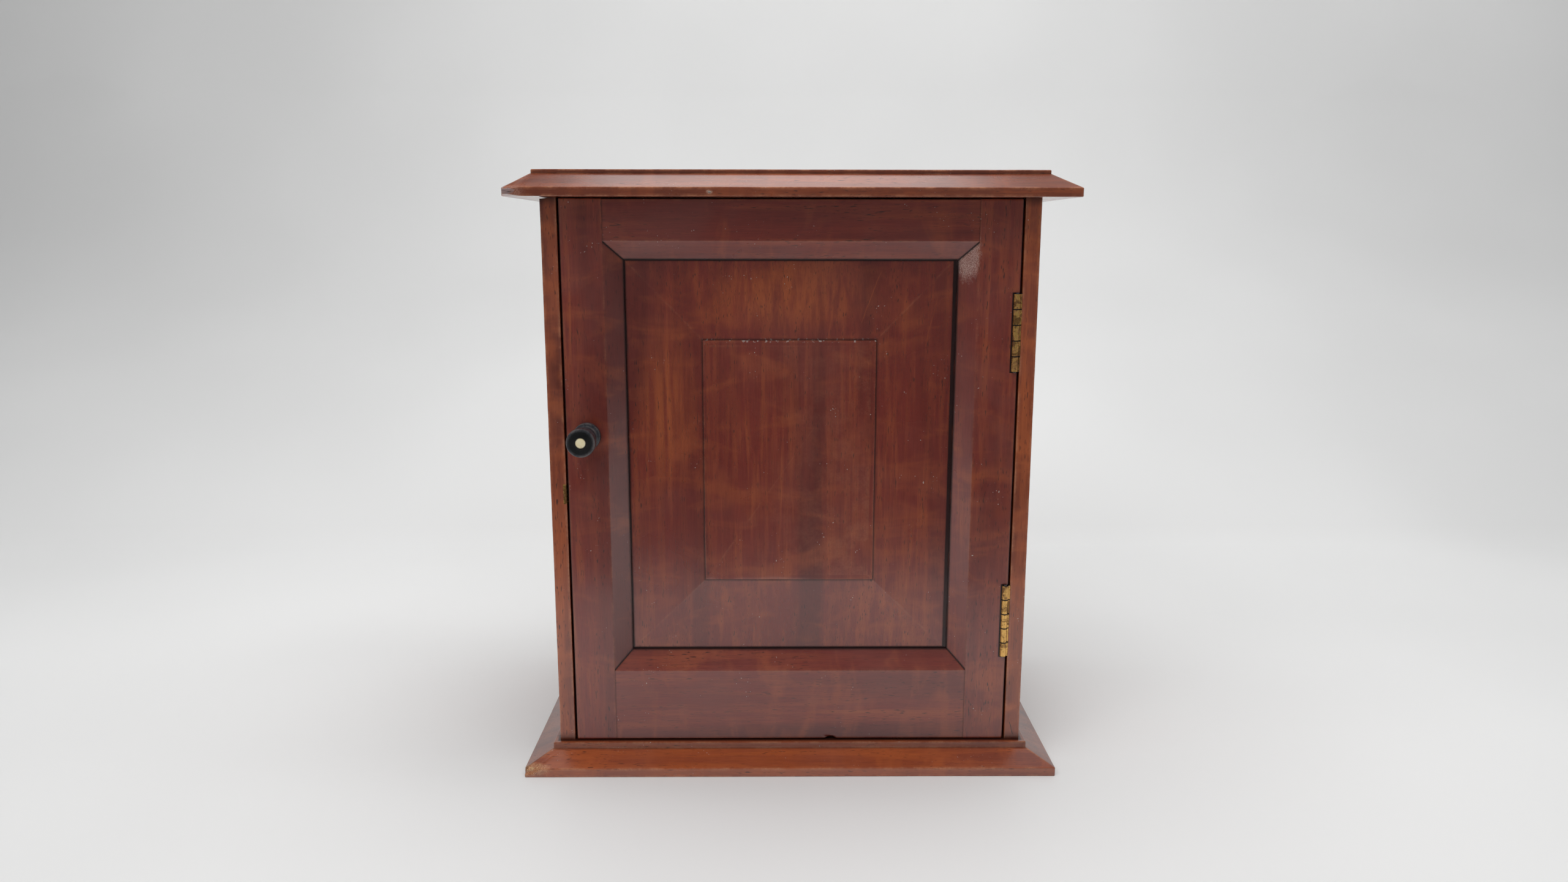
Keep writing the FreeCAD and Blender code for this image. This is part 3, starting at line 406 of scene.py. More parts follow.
class Finish:
    """A material being made up. Each method adds one node and hands back its output."""

    def __init__(self, name, roughness=0.4, metallic=0.0):
        self.material = bpy.data.materials.new(name)
        self.material.use_nodes = True
        self.tree = self.material.node_tree
        self.shader = self.tree.nodes["Principled BSDF"]
        self.set("Roughness", roughness)
        self.set("Metallic", metallic)
        self.place = self.node("ShaderNodeTexCoord").outputs["Object"]

    def set(self, name, value):
        """Feeds one of the shader's own sockets."""
        self.feed(self.shader.inputs[name], value)

    def feed(self, socket, value):
        """Links a socket, or sets its own value."""
        if isinstance(value, bpy.types.NodeSocket):
            self.tree.links.new(value, socket)
        elif socket.type == "RGBA":
            socket.default_value = (*tuple(value)[:3], 1.0)
        else:
            socket.default_value = value

    def node(self, kind, inputs=None, **settings):
        made = self.tree.nodes.new(kind)
        for name, value in settings.items():
            setattr(made, name, value)
        for name, value in (inputs or {}).items():
            self.feed(made.inputs[name], value)
        return made

    def laid(self, shift=(0, 0, 0), stretch=(1, 1, 1), turn=(0, 0, 0)):
        """The piece's own position, shifted, turned and stretched for a pattern."""
        return self.node("ShaderNodeMapping", {"Vector": self.place, "Location": shift,
                                               "Rotation": turn, "Scale": stretch}).outputs[0]

    def noise(self, place, scale, detail=2.0, rough=0.5, distortion=0.0):
        return self.node("ShaderNodeTexNoise",
                         {"Vector": place, "Scale": scale, "Detail": detail,
                          "Roughness": rough, "Distortion": distortion}).outputs[0]

    def mark(self, name):
        """One of the marks that the piece's points carry."""
        return self.node("ShaderNodeAttribute", attribute_name=name,
                         attribute_type="GEOMETRY").outputs["Fac"]

    def span(self, value, start, stop, low=0.0, high=1.0):
        """low up to start, high past stop, and a smooth S between."""
        return self.node("ShaderNodeMapRange",
                         {"Value": value, "From Min": start, "From Max": stop,
                          "To Min": low, "To Max": high},
                         interpolation_type="SMOOTHSTEP").outputs[0]

    def maths(self, way, first, second=0.0):
        made = self.node("ShaderNodeMath", operation=way)
        self.feed(made.inputs[0], first)
        self.feed(made.inputs[1], second)
        return made.outputs[0]

    def times(self, first, second):
        return self.maths("MULTIPLY", first, second)

    def plus(self, first, second):
        return self.maths("ADD", first, second)

    def less(self, first, second):
        return self.maths("SUBTRACT", first, second)

    def most(self, first, second):
        return self.maths("MAXIMUM", first, second)

    def over(self, amount, under, above, way="MIX"):
        """One colour laid over another by an amount."""
        made = self.node("ShaderNodeMix", data_type="RGBA", blend_type=way)
        self.feed(made.inputs[0], amount)
        self.feed(made.inputs[6], under)
        self.feed(made.inputs[7], above)
        return made.outputs[2]

    def shaded(self, tone, amount, pattern, low, high):
        """A colour multiplied by a pattern that runs between two shades."""
        return self.over(amount, tone, self.over(pattern, low, high), "MULTIPLY")

    def apart(self, point, stretch=(1, 1, 1)):
        """Distance from a point, measured in stretched lengths."""
        shift = tuple(-p * s for p, s in zip(point, stretch))
        placed = self.laid(shift, stretch)
        return self.node("ShaderNodeVectorMath", {"Vector": placed},
                         operation="LENGTH").outputs["Value"]

    def bump(self, height, strength, depth, under=None):
        """Tilts the surface by a height, on top of an earlier bump."""
        made = self.node("ShaderNodeBump", {"Height": height, "Strength": strength,
                                            "Distance": depth})
        if under is not None:
            self.feed(made.inputs["Normal"], under)
        return made.outputs[0]


# Marks that polished wood can carry, on the piece's own coordinates. A chip of no depth is a
# speckled scuff, and a deeper one bares fresh wood. A lit patch is painted light: the wood
# lifted towards orange round a point. A recess gets painted shade as a dark rectangle, and a
# scratch is a line, both as seen from the front.
Chip = namedtuple("Chip", "point reach stretch fresh depth")
LitPatch = namedtuple("LitPatch", "point reach stretch")
Recess = namedtuple("Recess", "middle_x half_x middle_z half_z")
Scratch = namedtuple("Scratch", "x0 z0 x1 z1 half_width tone amount")

COAT_WEIGHT = 0.9
COAT_ROUGHNESS = 0.22
COAT_IOR = 1.62
DUST = (0.62, 0.56, 0.52)
OILED_ROUGHNESS = 0.55


def stretched(along, share):
    """A pattern's stretch: a share along one axis, and 1 along the others."""
    stretch = [1.0, 1.0, 1.0]
    stretch[along] = share
    return stretch


def mahogany(name, along, shift, ground, glow, haze, wear, glow_start=0.50, gloss=0.30,
             figured=1.0, chips=(), lit_patches=(), recesses=(), scratches=(), dusty=False):
    """French-polished mahogany, its grain running along one axis.

    Colour: a broad figure and narrower stripes run dark to ground to orange, and patches of
    painted light lift it towards orange round given points. Fine fibres and short dark pores
    are laid over them, then a cloudy bloom, dirt and painted shade in the corners, gaps and
    recesses, and rubbed lighter wood wherever the arris mark and a noise are both high. The
    coat thins where that painted shade lies. Roughness and a fine bump follow the pores and
    the bloom. figured is how far the figure's dark goes, and dusty lays pale specks wherever
    the piece carries a dust mark.
    """
    tones = sizes_of("armoire_colours")
    wood = Finish(name)
    grain = wood.laid(shift, stretched(along, 0.055))
    figure = wood.noise(grain, 30.0, 3.0, 0.55, 0.8)
    stripe = wood.noise(grain, 170.0, 4.0, 0.6, 0.4)
    fibre = wood.noise(grain, 1300.0, 2.0, 0.6)
    mottle = wood.noise(wood.laid(shift, stretched(along, 2.2)), 24.0, 3.0, 0.55, 0.6)
    pores = wood.noise(wood.laid(shift, stretched(along, 0.13)), 1500.0, 1.0, 0.4)
    pores = wood.times(wood.span(pores, 0.63, 0.74), wood.span(stripe, 0.42, 0.62, 0.25, 1.0))
    cloud = wood.noise(wood.laid(tuple(9 * s for s in shift)), 13.0, 4.0, 0.6, 0.3)

    tone = wood.over(wood.span(figure, 0.30, 0.62, 1.0 - figured, 1.0), tones.wood_dark,
                     ground)
    lift = wood.times(wood.span(stripe, 0.42, 0.68),
                      wood.span(figure, glow_start - 0.12, glow_start + 0.22))
    tone = wood.over(wood.times(lift, glow * 1.5), tone, tones.wood_glow)
    lit = wood.times(wood.span(mottle, 0.46, 0.72), glow)
    tone = wood.over(lit, tone, tones.wood_glow)
    # Patches of painted light: round each given point the wood is lifted towards orange, where the
    # stripes allow.
    for point, reach, stretch in lit_patches:
        near = wood.span(wood.apart(point, stretch), 0.2 * reach, reach, 0.75, 0.0)
        near = wood.times(near, wood.span(stripe, 0.30, 0.60, 0.25, 1.0))
        tone = wood.over(near, tone, tones.wood_glow)
    tone = wood.shaded(tone, 0.38, fibre, (0.25, 0.2, 0.2), grey(1.5))
    tone = wood.over(wood.times(pores, 0.85), tone, tones.grime)
    bloom = wood.span(cloud, 0.42, 0.70)
    tone = wood.over(wood.times(bloom, haze * 0.5), tone, tones.haze)

    rub = wood.span(wood.noise(wood.place, 90.0, 4.0, 0.65), 0.40, 0.62, 0.12, 1.0)
    fine_rub = wood.span(wood.noise(wood.place, 700.0, 2.0, 0.6), 0.25, 0.60, 0.35, 1.0)
    rubbed = wood.times(wood.times(rub, fine_rub), wood.times(wood.mark("arris"), wear))
    tone = wood.over(rubbed, tone, tones.worn)
    rough = wood.plus(wood.span(cloud, 0.35, 0.7, gloss - 0.04, gloss + 0.07),
                      wood.times(rubbed, 0.18))
    height = wood.less(wood.times(fibre, 0.25), pores)
    for chip in chips:
        tone, rough, height = chipped(wood, chip, grain, shift, tone, rough, height)
    specks = wood.times(wood.span(wood.noise(wood.place, 1100.0, 0.0, 0.5), 0.80, 0.83),
                        wood.span(wood.noise(wood.laid(shift), 60.0, 1.0, 0.5), 0.60, 0.68))
    if dusty:
        ledge = wood.span(wood.noise(wood.place, 520.0, 1.0, 0.5), 0.60, 0.68)
        specks = wood.most(specks, wood.times(ledge, wood.mark("dust")))
    tone = wood.over(wood.times(specks, 0.8), tone, DUST)
    # Dirt and painted shade: near black where the grime mark lies, in corners, gaps and joints, and
    # a rectangle of painted shade in each recess.
    dirt_and_shade = wood.times(wood.mark("grime"), 0.92)
    for recess in recesses:
        dirt_and_shade = wood.most(dirt_and_shade, wood.times(recessed(wood, recess), 0.96))
    for scratch in scratches:
        tone = wood.over(scratched(wood, scratch), tone, scratch.tone)
    tone = wood.over(dirt_and_shade, tone, tones.grime)
    waves = wood.bump(wood.noise(wood.place, 55.0, 2.0), 0.25, 0.35 * MM)
    wood.set("Base Color", tone)
    wood.set("Roughness", wood.plus(rough, wood.times(pores, 0.15)))
    wood.set("Normal", wood.bump(height, 0.35, 0.05 * MM, waves))
    # The coat is taken away where the dirt and painted shade lie.
    wood.set("Coat Weight", wood.times(wood.less(1.0, dirt_and_shade), COAT_WEIGHT))
    wood.set("Coat Roughness", COAT_ROUGHNESS)
    wood.set("Coat IOR", COAT_IOR)
    return wood.material


def chipped(wood, chip, grain, shift, tone, rough, height):
    """The wood's colour, roughness and height, with the polish broken round a point. Its
    ragged edge is the distance from the point plus a noise."""
    tones = sizes_of("armoire_colours")
    ragged = wood.noise(wood.laid(shift), 420.0, 3.0, 0.7)
    edge = wood.plus(wood.apart(chip.point, chip.stretch),
                     wood.times(ragged, chip.reach * 0.9))
    scuff = wood.span(edge, chip.reach * 1.15, chip.reach * 1.75, 1.0, 0.0)
    pale = tuple(0.5 * (a + b) for a, b in zip(tones.worn, chip.fresh))
    speckle = wood.span(wood.noise(wood.place, 2100.0, 2.0, 0.7), 0.40, 0.62, 0.1, 0.9)
    tone = wood.over(wood.times(scuff, speckle), tone, pale)
    if chip.depth:
        gone = wood.span(edge, chip.reach * 0.86, chip.reach * 0.97, 1.0, 0.0)
        splinter = wood.span(wood.noise(grain, 900.0, 3.0, 0.7), 0.36, 0.50)
        tone = wood.over(gone, tone, wood.over(splinter, tones.grime, chip.fresh))
        rough = wood.plus(rough, wood.times(gone, 0.35))
        height = wood.less(height, wood.times(gone, chip.depth))
    return tone, rough, height


def recessed(wood, recess):
    """1 inside a recess and 0 outside it, with an edge 0.3 mm wide, where shade is painted."""
    place = wood.node("ShaderNodeSeparateXYZ", {"Vector": wood.place}).outputs
    ways = (("X", recess.middle_x, recess.half_x), ("Z", recess.middle_z, recess.half_z))
    inside = []
    for axis, middle, half in ways:
        off = wood.maths("ABSOLUTE", wood.less(place[axis], middle))
        inside.append(wood.span(off, half - 0.3 * MM, half, 1.0, 0.0))
    return wood.times(*inside)


def scratched(wood, scratch):
    """How strongly a scratch shows: its amount along a wavering line, thinning to nothing at
    both ends. A point's travel along the line and its offset from it are dot products."""
    length = math.hypot(scratch.x1 - scratch.x0, scratch.z1 - scratch.z0)
    over, up = (scratch.x1 - scratch.x0) / length, (scratch.z1 - scratch.z0) / length
    from_start = wood.laid((-scratch.x0, 0.0, -scratch.z0))
    travel, offset = (wood.node("ShaderNodeVectorMath", {0: from_start, 1: way},
                                operation="DOT_PRODUCT").outputs["Value"]
                      for way in ((over, 0.0, up), (-up, 0.0, over)))
    waver = wood.times(wood.noise(wood.place, 160.0, 2.0), 1.6 * MM)
    offset = wood.maths("ABSOLUTE", wood.plus(offset, wood.less(waver, 0.8 * MM)))
    line = wood.span(offset, 0.4 * scratch.half_width, scratch.half_width, scratch.amount, 0.0)
    line = wood.times(line, wood.span(travel, 0.0, 0.15 * length))
    return wood.times(line, wood.span(travel, 0.8 * length, length, 1.0, 0.0))


def plain_wood(name, along, shift, ground):
    """Oiled or raw wood: stripes, fibres and pores along one axis, and little shine."""
    wood = Finish(name)
    grain = wood.laid(shift, stretched(along, 0.06))
    stripe = wood.noise(grain, 140.0, 4.0, 0.6, 0.6)
    fibre = wood.noise(grain, 1500.0, 2.0, 0.6)
    dark = scaled(ground, 0.45)
    tone = wood.over(wood.span(stripe, 0.3, 0.7), dark, ground)
    tone = wood.shaded(tone, 0.35, fibre, (0.3, 0.26, 0.24), grey(1.5))
    pores = wood.span(wood.noise(grain, 900.0, 1.0, 0.4), 0.62, 0.72)
    tone = wood.over(wood.times(pores, 0.6), tone, dark)
    tone = wood.over(wood.times(wood.mark("arris"), 0.35), tone, scaled(ground, 1.5))
    stain = wood.noise(wood.place, 18.0, 3.0)
    tone = wood.over(wood.span(stain, 0.45, 0.75, 0.0, 0.35), tone, dark)
    wood.set("Base Color", tone)
    wood.set("Roughness", wood.span(stripe, 0.3, 0.7, OILED_ROUGHNESS + 0.08,
                                    OILED_ROUGHNESS - 0.06))
    wood.set("Normal", wood.bump(wood.less(fibre, pores), 0.4, 0.08 * MM))
    return wood.material


def aged_brass(name, bright, shift=(0, 0, 0), joints=None):
    """Brass under tarnish: a noise sets where the dark film is rubbed through, and a finer
    one pits and scratches it. The film is less metallic and rougher. joints is a height and
    a pitch: dirt and painted shade lie within 0.45 mm of each height that is a whole pitch
    from the first, at the joints between the knuckles."""
    tones = sizes_of("armoire_colours")
    metal = Finish(name)
    patch = metal.noise(metal.laid(shift), 230.0, 4.0, 0.65, 0.4)
    fine = metal.noise(metal.laid(shift, (1, 1, 0.35)), 1900.0, 2.0, 0.6)
    rubbed = metal.span(patch, 0.56 - 0.3 * bright, 0.74 - 0.3 * bright)
    worn_high = metal.most(rubbed, metal.times(metal.mark("arris"), 0.7))
    tone = metal.over(worn_high, tones.tarnish, tones.brass)
    tone = metal.shaded(tone, 0.45, fine, grey(0.2), grey(1.4))
    pits = metal.span(metal.noise(metal.laid(shift), 800.0, 1.0), 0.64, 0.72)
    tone = metal.over(metal.times(pits, 0.8), tone, (0.03, 0.016, 0.008))
    blots = metal.noise(metal.laid(shift), 110.0, 3.0, 0.65, 0.5)
    stained = metal.span(blots, 0.36 + 0.14 * bright, 0.44 + 0.14 * bright, 0.0, 0.75)
    tone = metal.over(stained, tone, (0.150, 0.062, 0.026))
    # Dirt and painted shade in the joints between the knuckles.
    if joints:
        height = metal.node("ShaderNodeSeparateXYZ", {"Vector": metal.place}).outputs["Z"]
        above = metal.less(height, joints[0])
        nearest = metal.maths("PINGPONG", above, joints[1] / 2)
        line = metal.span(nearest, 0.25 * MM, 0.62 * MM, 1.0, 0.0)
        tone = metal.over(line, tone, tones.grime)
        worn_high = metal.times(worn_high, metal.less(1.0, line))
    metal.set("Base Color", tone)
    metal.set("Metallic", metal.span(worn_high, 0.0, 1.0, 0.25, 0.72))
    metal.set("Roughness", metal.span(worn_high, 0.0, 1.0, 0.48, 0.27))
    metal.set("Normal", metal.bump(metal.less(fine, pits), 0.5, 0.05 * MM))
    return metal.material


def dull_steel(name):
    """Bright steel with fine draw marks, dulled in clouds."""
    tones = sizes_of("armoire_colours")
    metal = Finish(name, metallic=1.0)
    drawn = metal.noise(metal.laid((0, 0, 0), (1, 1, 0.1)), 2600.0, 2.0, 0.6)
    dull = metal.noise(metal.place, 260.0, 3.0, 0.6)
    tone = metal.over(metal.span(dull, 0.4, 0.7), tones.steel,
                      scaled(tones.steel, 0.45))
    tone = metal.shaded(tone, 0.35, drawn, grey(0.4), grey(1.3))
    metal.set("Base Color", tone)
    metal.set("Roughness", metal.span(dull, 0.35, 0.7, 0.26, 0.46))
    metal.set("Normal", metal.bump(drawn, 0.4, 0.03 * MM))
    return metal.material


def polished_ebony():
    """Near-black wood: faint streaks along the knob, a soft shine, and rubbed rims."""
    tones = sizes_of("armoire_colours")
    wood = Finish("polished_ebony")
    streak = wood.noise(wood.laid((0, 0, 0), (1, 0.12, 1)), 900.0, 3.0, 0.6)
    smear = wood.noise(wood.place, 120.0, 3.0, 0.6)
    tone = wood.over(wood.span(streak, 0.40, 0.70), tones.ebony, (0.050, 0.053, 0.062))
    rub = wood.times(wood.mark("arris"), wood.span(smear, 0.42, 0.62, 0.1, 0.75))
    tone = wood.over(rub, tone, (0.15, 0.125, 0.12))
    # Painted shade: near black where the grime mark lies.
    tone = wood.over(wood.times(wood.mark("grime"), 0.9), tone, grey(0.004))
    wood.set("Base Color", tone)
    wood.set("Roughness", wood.span(smear, 0.3, 0.7, 0.34, 0.55))
    wood.set("Normal", wood.bump(streak, 0.3, 0.04 * MM))
    wood.set("Coat Weight", 0.25)
    wood.set("Coat Roughness", 0.12)
    return wood.material


def yellowed_bone():
    """Polished bone: pale, with fine brown pores along it and a dark rim, dirt and painted shade of
    the gap round it.
    """
    tones = sizes_of("armoire_colours")
    bone = Finish("yellowed_bone", 0.3)
    vein = bone.noise(bone.laid((0, 0, 0), (1, 1, 0.3)), 900.0, 3.0, 0.6)
    patch = bone.noise(bone.place, 260.0, 3.0, 0.6)
    tone = bone.over(bone.span(patch, 0.35, 0.7), tones.bone, (0.92, 0.84, 0.60))
    tone = bone.over(bone.span(vein, 0.60, 0.75, 0.0, 0.55), tone, (0.36, 0.22, 0.09))
    # Dirt and painted shade in the rim, where the grime mark lies.
    tone = bone.over(bone.times(bone.mark("grime"), 0.9), tone, (0.06, 0.03, 0.015))
    bone.set("Base Color", tone)
    bone.set("Roughness", bone.span(patch, 0.3, 0.7, 0.24, 0.38))
    bone.set("Normal", bone.bump(vein, 0.3, 0.03 * MM))
    return bone.material


def cotton_velvet():
    """Velvet: a fine pile, brushed lighter and darker in broad strokes, with a soft sheen."""
    tones = sizes_of("armoire_colours")
    cloth = Finish("cotton_velvet", 0.95)
    pile = cloth.noise(cloth.place, 2600.0, 2.0, 0.7)
    stroke = cloth.noise(cloth.laid((3, 1, 0), (1, 0.4, 1)), 26.0, 3.0, 0.6, 1.2)
    tone = cloth.over(cloth.span(stroke, 0.36, 0.66), scaled(tones.velvet, 0.5),
                      scaled(tones.velvet, 1.7))
    tone = cloth.shaded(tone, 0.55, pile, grey(0.35), grey(1.6))
    cloth.set("Base Color", tone)
    cloth.set("Roughness", cloth.span(pile, 0.3, 0.7, 0.98, 0.86))
    cloth.set("Normal", cloth.bump(pile, 0.6, 0.25 * MM))
    cloth.set("Sheen Weight", 0.7)
    cloth.set("Sheen Roughness", 0.35)
    cloth.set("Sheen Tint", (0.55, 0.80, 0.62))
    return cloth.material


# ---------------------------------------------------------------- the case


def moulded_board(low, high, edge, slope, step, overhang, arris, ledge=0.0):
    """A board whose front and sides are moulded: the plan's rectangle is laid level above
    level, and its front and both sides draw in from the overhang to the step along the
    profile, while its back stays where it is."""
    tall = high[Z] - low[Z]
    draw = 3 * MM
    corners = [[overhang - draw, 0], [overhang, 0], [overhang, edge], [step, slope],
               [step, tall], [step - draw, tall]]
    profile, marks = softened(corners, [0, arris * 0.7, arris * 1.1, arris * 0.35, arris, 0])
    inward = np.array([[step - 6 * MM, tall], [step - 9 * MM, tall]])
    profile = np.concatenate([profile, inward])
    marks = np.concatenate([marks, [0, 0]])
    spread = profile[:, :1] - overhang
    lows = low[[X, Y]] - spread
    highs = high[[X, Y]] + spread * np.array([1.0, 0.0])
    rings, rubbed = stacked(Z, lows, highs, low[Z] + profile[:, 1], marks, arris, 96)
    # Painted shade: darker at the foot of the slope, in the inner corner, and, by ledge, on the two
    # inward rows of the top; on the base that is a painted shadow under the door.
    foot = np.abs(profile[:, 1] - slope) < 0.3 * MM
    grime = np.where(foot, 0.55, 0.0)
    grime[-3:-1] = ledge
    grime = grime[:, None] * np.ones(rings.shape[1])
    rings = rings + wavering(rings, 0.10 * MM, 4) * rubbed[..., None]
    inside = np.clip(rings, low, high)
    return inside, rubbed, grime


class ARMOIRE_OT_base(bpy.types.Operator):
    """Lays the moulded base board, with its chipped front corner"""

    bl_idname = "armoire.base"
    bl_label = "Base board"

    def execute(self, context):
        sizes = sizes_of("armoire_case")
        colours = sizes_of("armoire_colours")
        # ledge=0.97 paints a shadow on the base's top behind the front, under the door's foot.
        rings, rubbed, grime = moulded_board(BASE_LOW, BASE_HIGH, sizes.base_edge,
                                             sizes.base_slope, sizes.base_step,
                                             FRONT - BASE_LOW[Y], sizes.arris, ledge=0.97)
        corner = np.array([BASE_LOW[X], BASE_LOW[Y], BASE_LOW[Z] + sizes.base_edge])
        broken = np.array([11.0, 3.0, 3.4]) * MM
        lost = 1 - fade(np.linalg.norm((rings - corner) / broken, axis=-1), 0.45, 1.0)
        rings += np.array([0.9, 1.2, -1.3]) * MM * lost[..., None]
        grime = end_grain(rings, grime)
        # Painted shade over the raised field and its step, which lie under the door.
        raised = rings[..., Z] > BASE_LOW[Z] + sizes.base_slope + 0.3 * MM
        grime = np.maximum(grime, 0.3 * raised)
        chip = Chip(point=tuple(corner), reach=9 * MM, stretch=(0.55, 1.6, 1.9),
                    fresh=tuple(colours.bare), depth=2.0)
        # A patch of painted light: the middle of the front moulding lifted towards orange.
        middle = LitPatch(point=(0.0, BASE_LOW[Y] + 9 * MM, 0.010), reach=170 * MM,
                      stretch=(1, 1, 4))
        finish = mahogany("base_mahogany", X, (1.7, 0.3, 2.1), colours.wood_case, glow=0.85,
                          haze=0.35, wear=0.7, glow_start=0.42, figured=0.7, lit_patches=[middle],
                          chips=[chip])
        put("moulded_base", [shell(rings, rubbed, grime)], finish, "case", "case_mahogany",
            ["base_board"])
        return {"FINISHED"}


class ARMOIRE_OT_top(bpy.types.Operator):
    """Lays the moulded top board, with its rubbed front corner"""

    bl_idname = "armoire.top"
    bl_label = "Top board"

    def execute(self, context):
        sizes = sizes_of("armoire_case")
        left, front, foot = TOP_LOW
        rings, rubbed, grime = moulded_board(TOP_LOW, TOP_HIGH, sizes.top_edge,
                                             sizes.top_slope, sizes.top_step, FRONT - front,
                                             sizes.arris)
        reach = (rings[..., :2] - TOP_LOW[:2]) / np.array([15 * MM, 9 * MM])
        lost = 1 - fade(np.linalg.norm(reach, axis=-1), 0.1, 1.0)
        lost = lost * (1 - fade(rings[..., Z], foot + sizes.top_edge, foot + 8 * MM))
        edge_middle = foot + 0.5 * sizes.top_edge
        rings[..., Z] += (edge_middle - rings[..., Z]) * 0.45 * lost
        rings[..., X] += 1.6 * MM * lost ** 2
        rings[..., Y] += 1.0 * MM * lost ** 2
        rubbed = np.maximum(rubbed, 0.8 * lost)
        knock = Chip(point=(left + 4 * MM, front, foot + 3 * MM), reach=7 * MM,
                     stretch=(0.7, 1.2, 1.6), fresh=(0.30, 0.20, 0.19), depth=0.6)
        dent = Chip(point=(-0.0505, front, foot + 2.6 * MM), reach=1.6 * MM,
                    stretch=(0.8, 1.0, 1.2), fresh=(0.50, 0.40, 0.34), depth=2.0)
        # A painted highlight: the middle of the front moulding lifted towards orange.
        middle = LitPatch(point=(-0.01, front + 9 * MM, 0.395), reach=120 * MM,
                      stretch=(1, 1, 14))
        ground = scaled(sizes_of("armoire_colours").wood_case, 0.60)
        finish = mahogany("top_mahogany", X, (0.4, 5.3, 1.2), ground, glow=0.30, haze=0.25,
                          wear=0.65, glow_start=0.42, figured=0.35, lit_patches=[middle],
                          chips=[knock, dent])
        put("moulded_top", [shell(rings, rubbed, grime)], finish, "case", "case_mahogany",
            ["top_board"])
        return {"FINISHED"}


def end_grain(rings, grime):
    """Grime raised on the two returns, where the end grain takes the polish darker.

    A point is on a return when it is further beyond the case at the side than in front."""
    aside = np.abs(rings[..., X]) + SIDE_LOW[X]
    ahead = FRONT - rings[..., Y]
    share = fade(aside - np.maximum(ahead, 0.0), 0.0, 1.0 * MM)
    share = share * (aside > 4.5 * MM)
    return np.maximum(grime, 0.42 * share)


def run_along(profile, arris, place, start, finish, inner, ends, stations):
    """A profile carried along a straight run, as the rings of a shell.

    Each profile point starts and stops at its own height along the run. Near each end the
    run follows a quarter circle of the radius ends: at angle a the point has travelled
    radius * (1 - cos a), and it is drawn in to its core by 1 - sin a. place turns
    (profile, height) into positions.
    """
    angle = np.linspace(0, math.pi / 2, ARC_STEPS + 1)
    near = np.concatenate([ends * (1 - np.cos(angle)), ends + np.array([0.35, 1.3]) * MM])
    drawn = np.concatenate([1 - np.sin(angle), [0, 0]])
    # Painted shade at each end of the run, fading out over the next 1.3 mm: the mitre and joint
    # lines.
    dirty_and_shaded = np.concatenate([np.ones(ARC_STEPS + 1), [0.35, 0.0]])
    zero = np.zeros(len(stations))
    low_run = np.concatenate([near, zero + near[-1], near[-1] + 0 * near])
    high_run = np.concatenate([near[-1] + 0 * near, zero + near[-1], near[::-1]])
    share = np.concatenate([0 * near, stations, 0 * near + 1])
    drawn = np.concatenate([drawn, zero, drawn[::-1]])
    dirty_and_shaded = np.concatenate([dirty_and_shaded, zero, dirty_and_shaded[::-1]])
    from_low = (start[None] + low_run[:, None]) * (1 - share[:, None])
    height = from_low + (finish[None] - high_run[:, None]) * share[:, None]
    core = profile + inner
    flat = profile[None] + (core - profile)[None] * drawn[:, None, None]
    rubbed = np.repeat(arris[None], len(share), axis=0)
    return place(flat, height), rubbed, dirty_and_shaded


def studded(profile, marks, extra):
    """A closed profile with further points let into its straight runs. Each goes in the run
    whose line it lies nearest to, at its share of the way along."""
    for point in extra:
        run = np.roll(profile, -1, axis=0) - profile
        share = ((point - profile) * run).sum(-1) / (run ** 2).sum(-1)
        off = np.linalg.norm(profile + share[:, None] * run - point, axis=-1)
        off = np.where((share > 0) & (share < 1), off, 1.0)
        at = int(np.argmin(off)) + 1
        profile = np.insert(profile, at, point, axis=0)
        marks = np.insert(marks, at, 0.0)
    return profile, marks


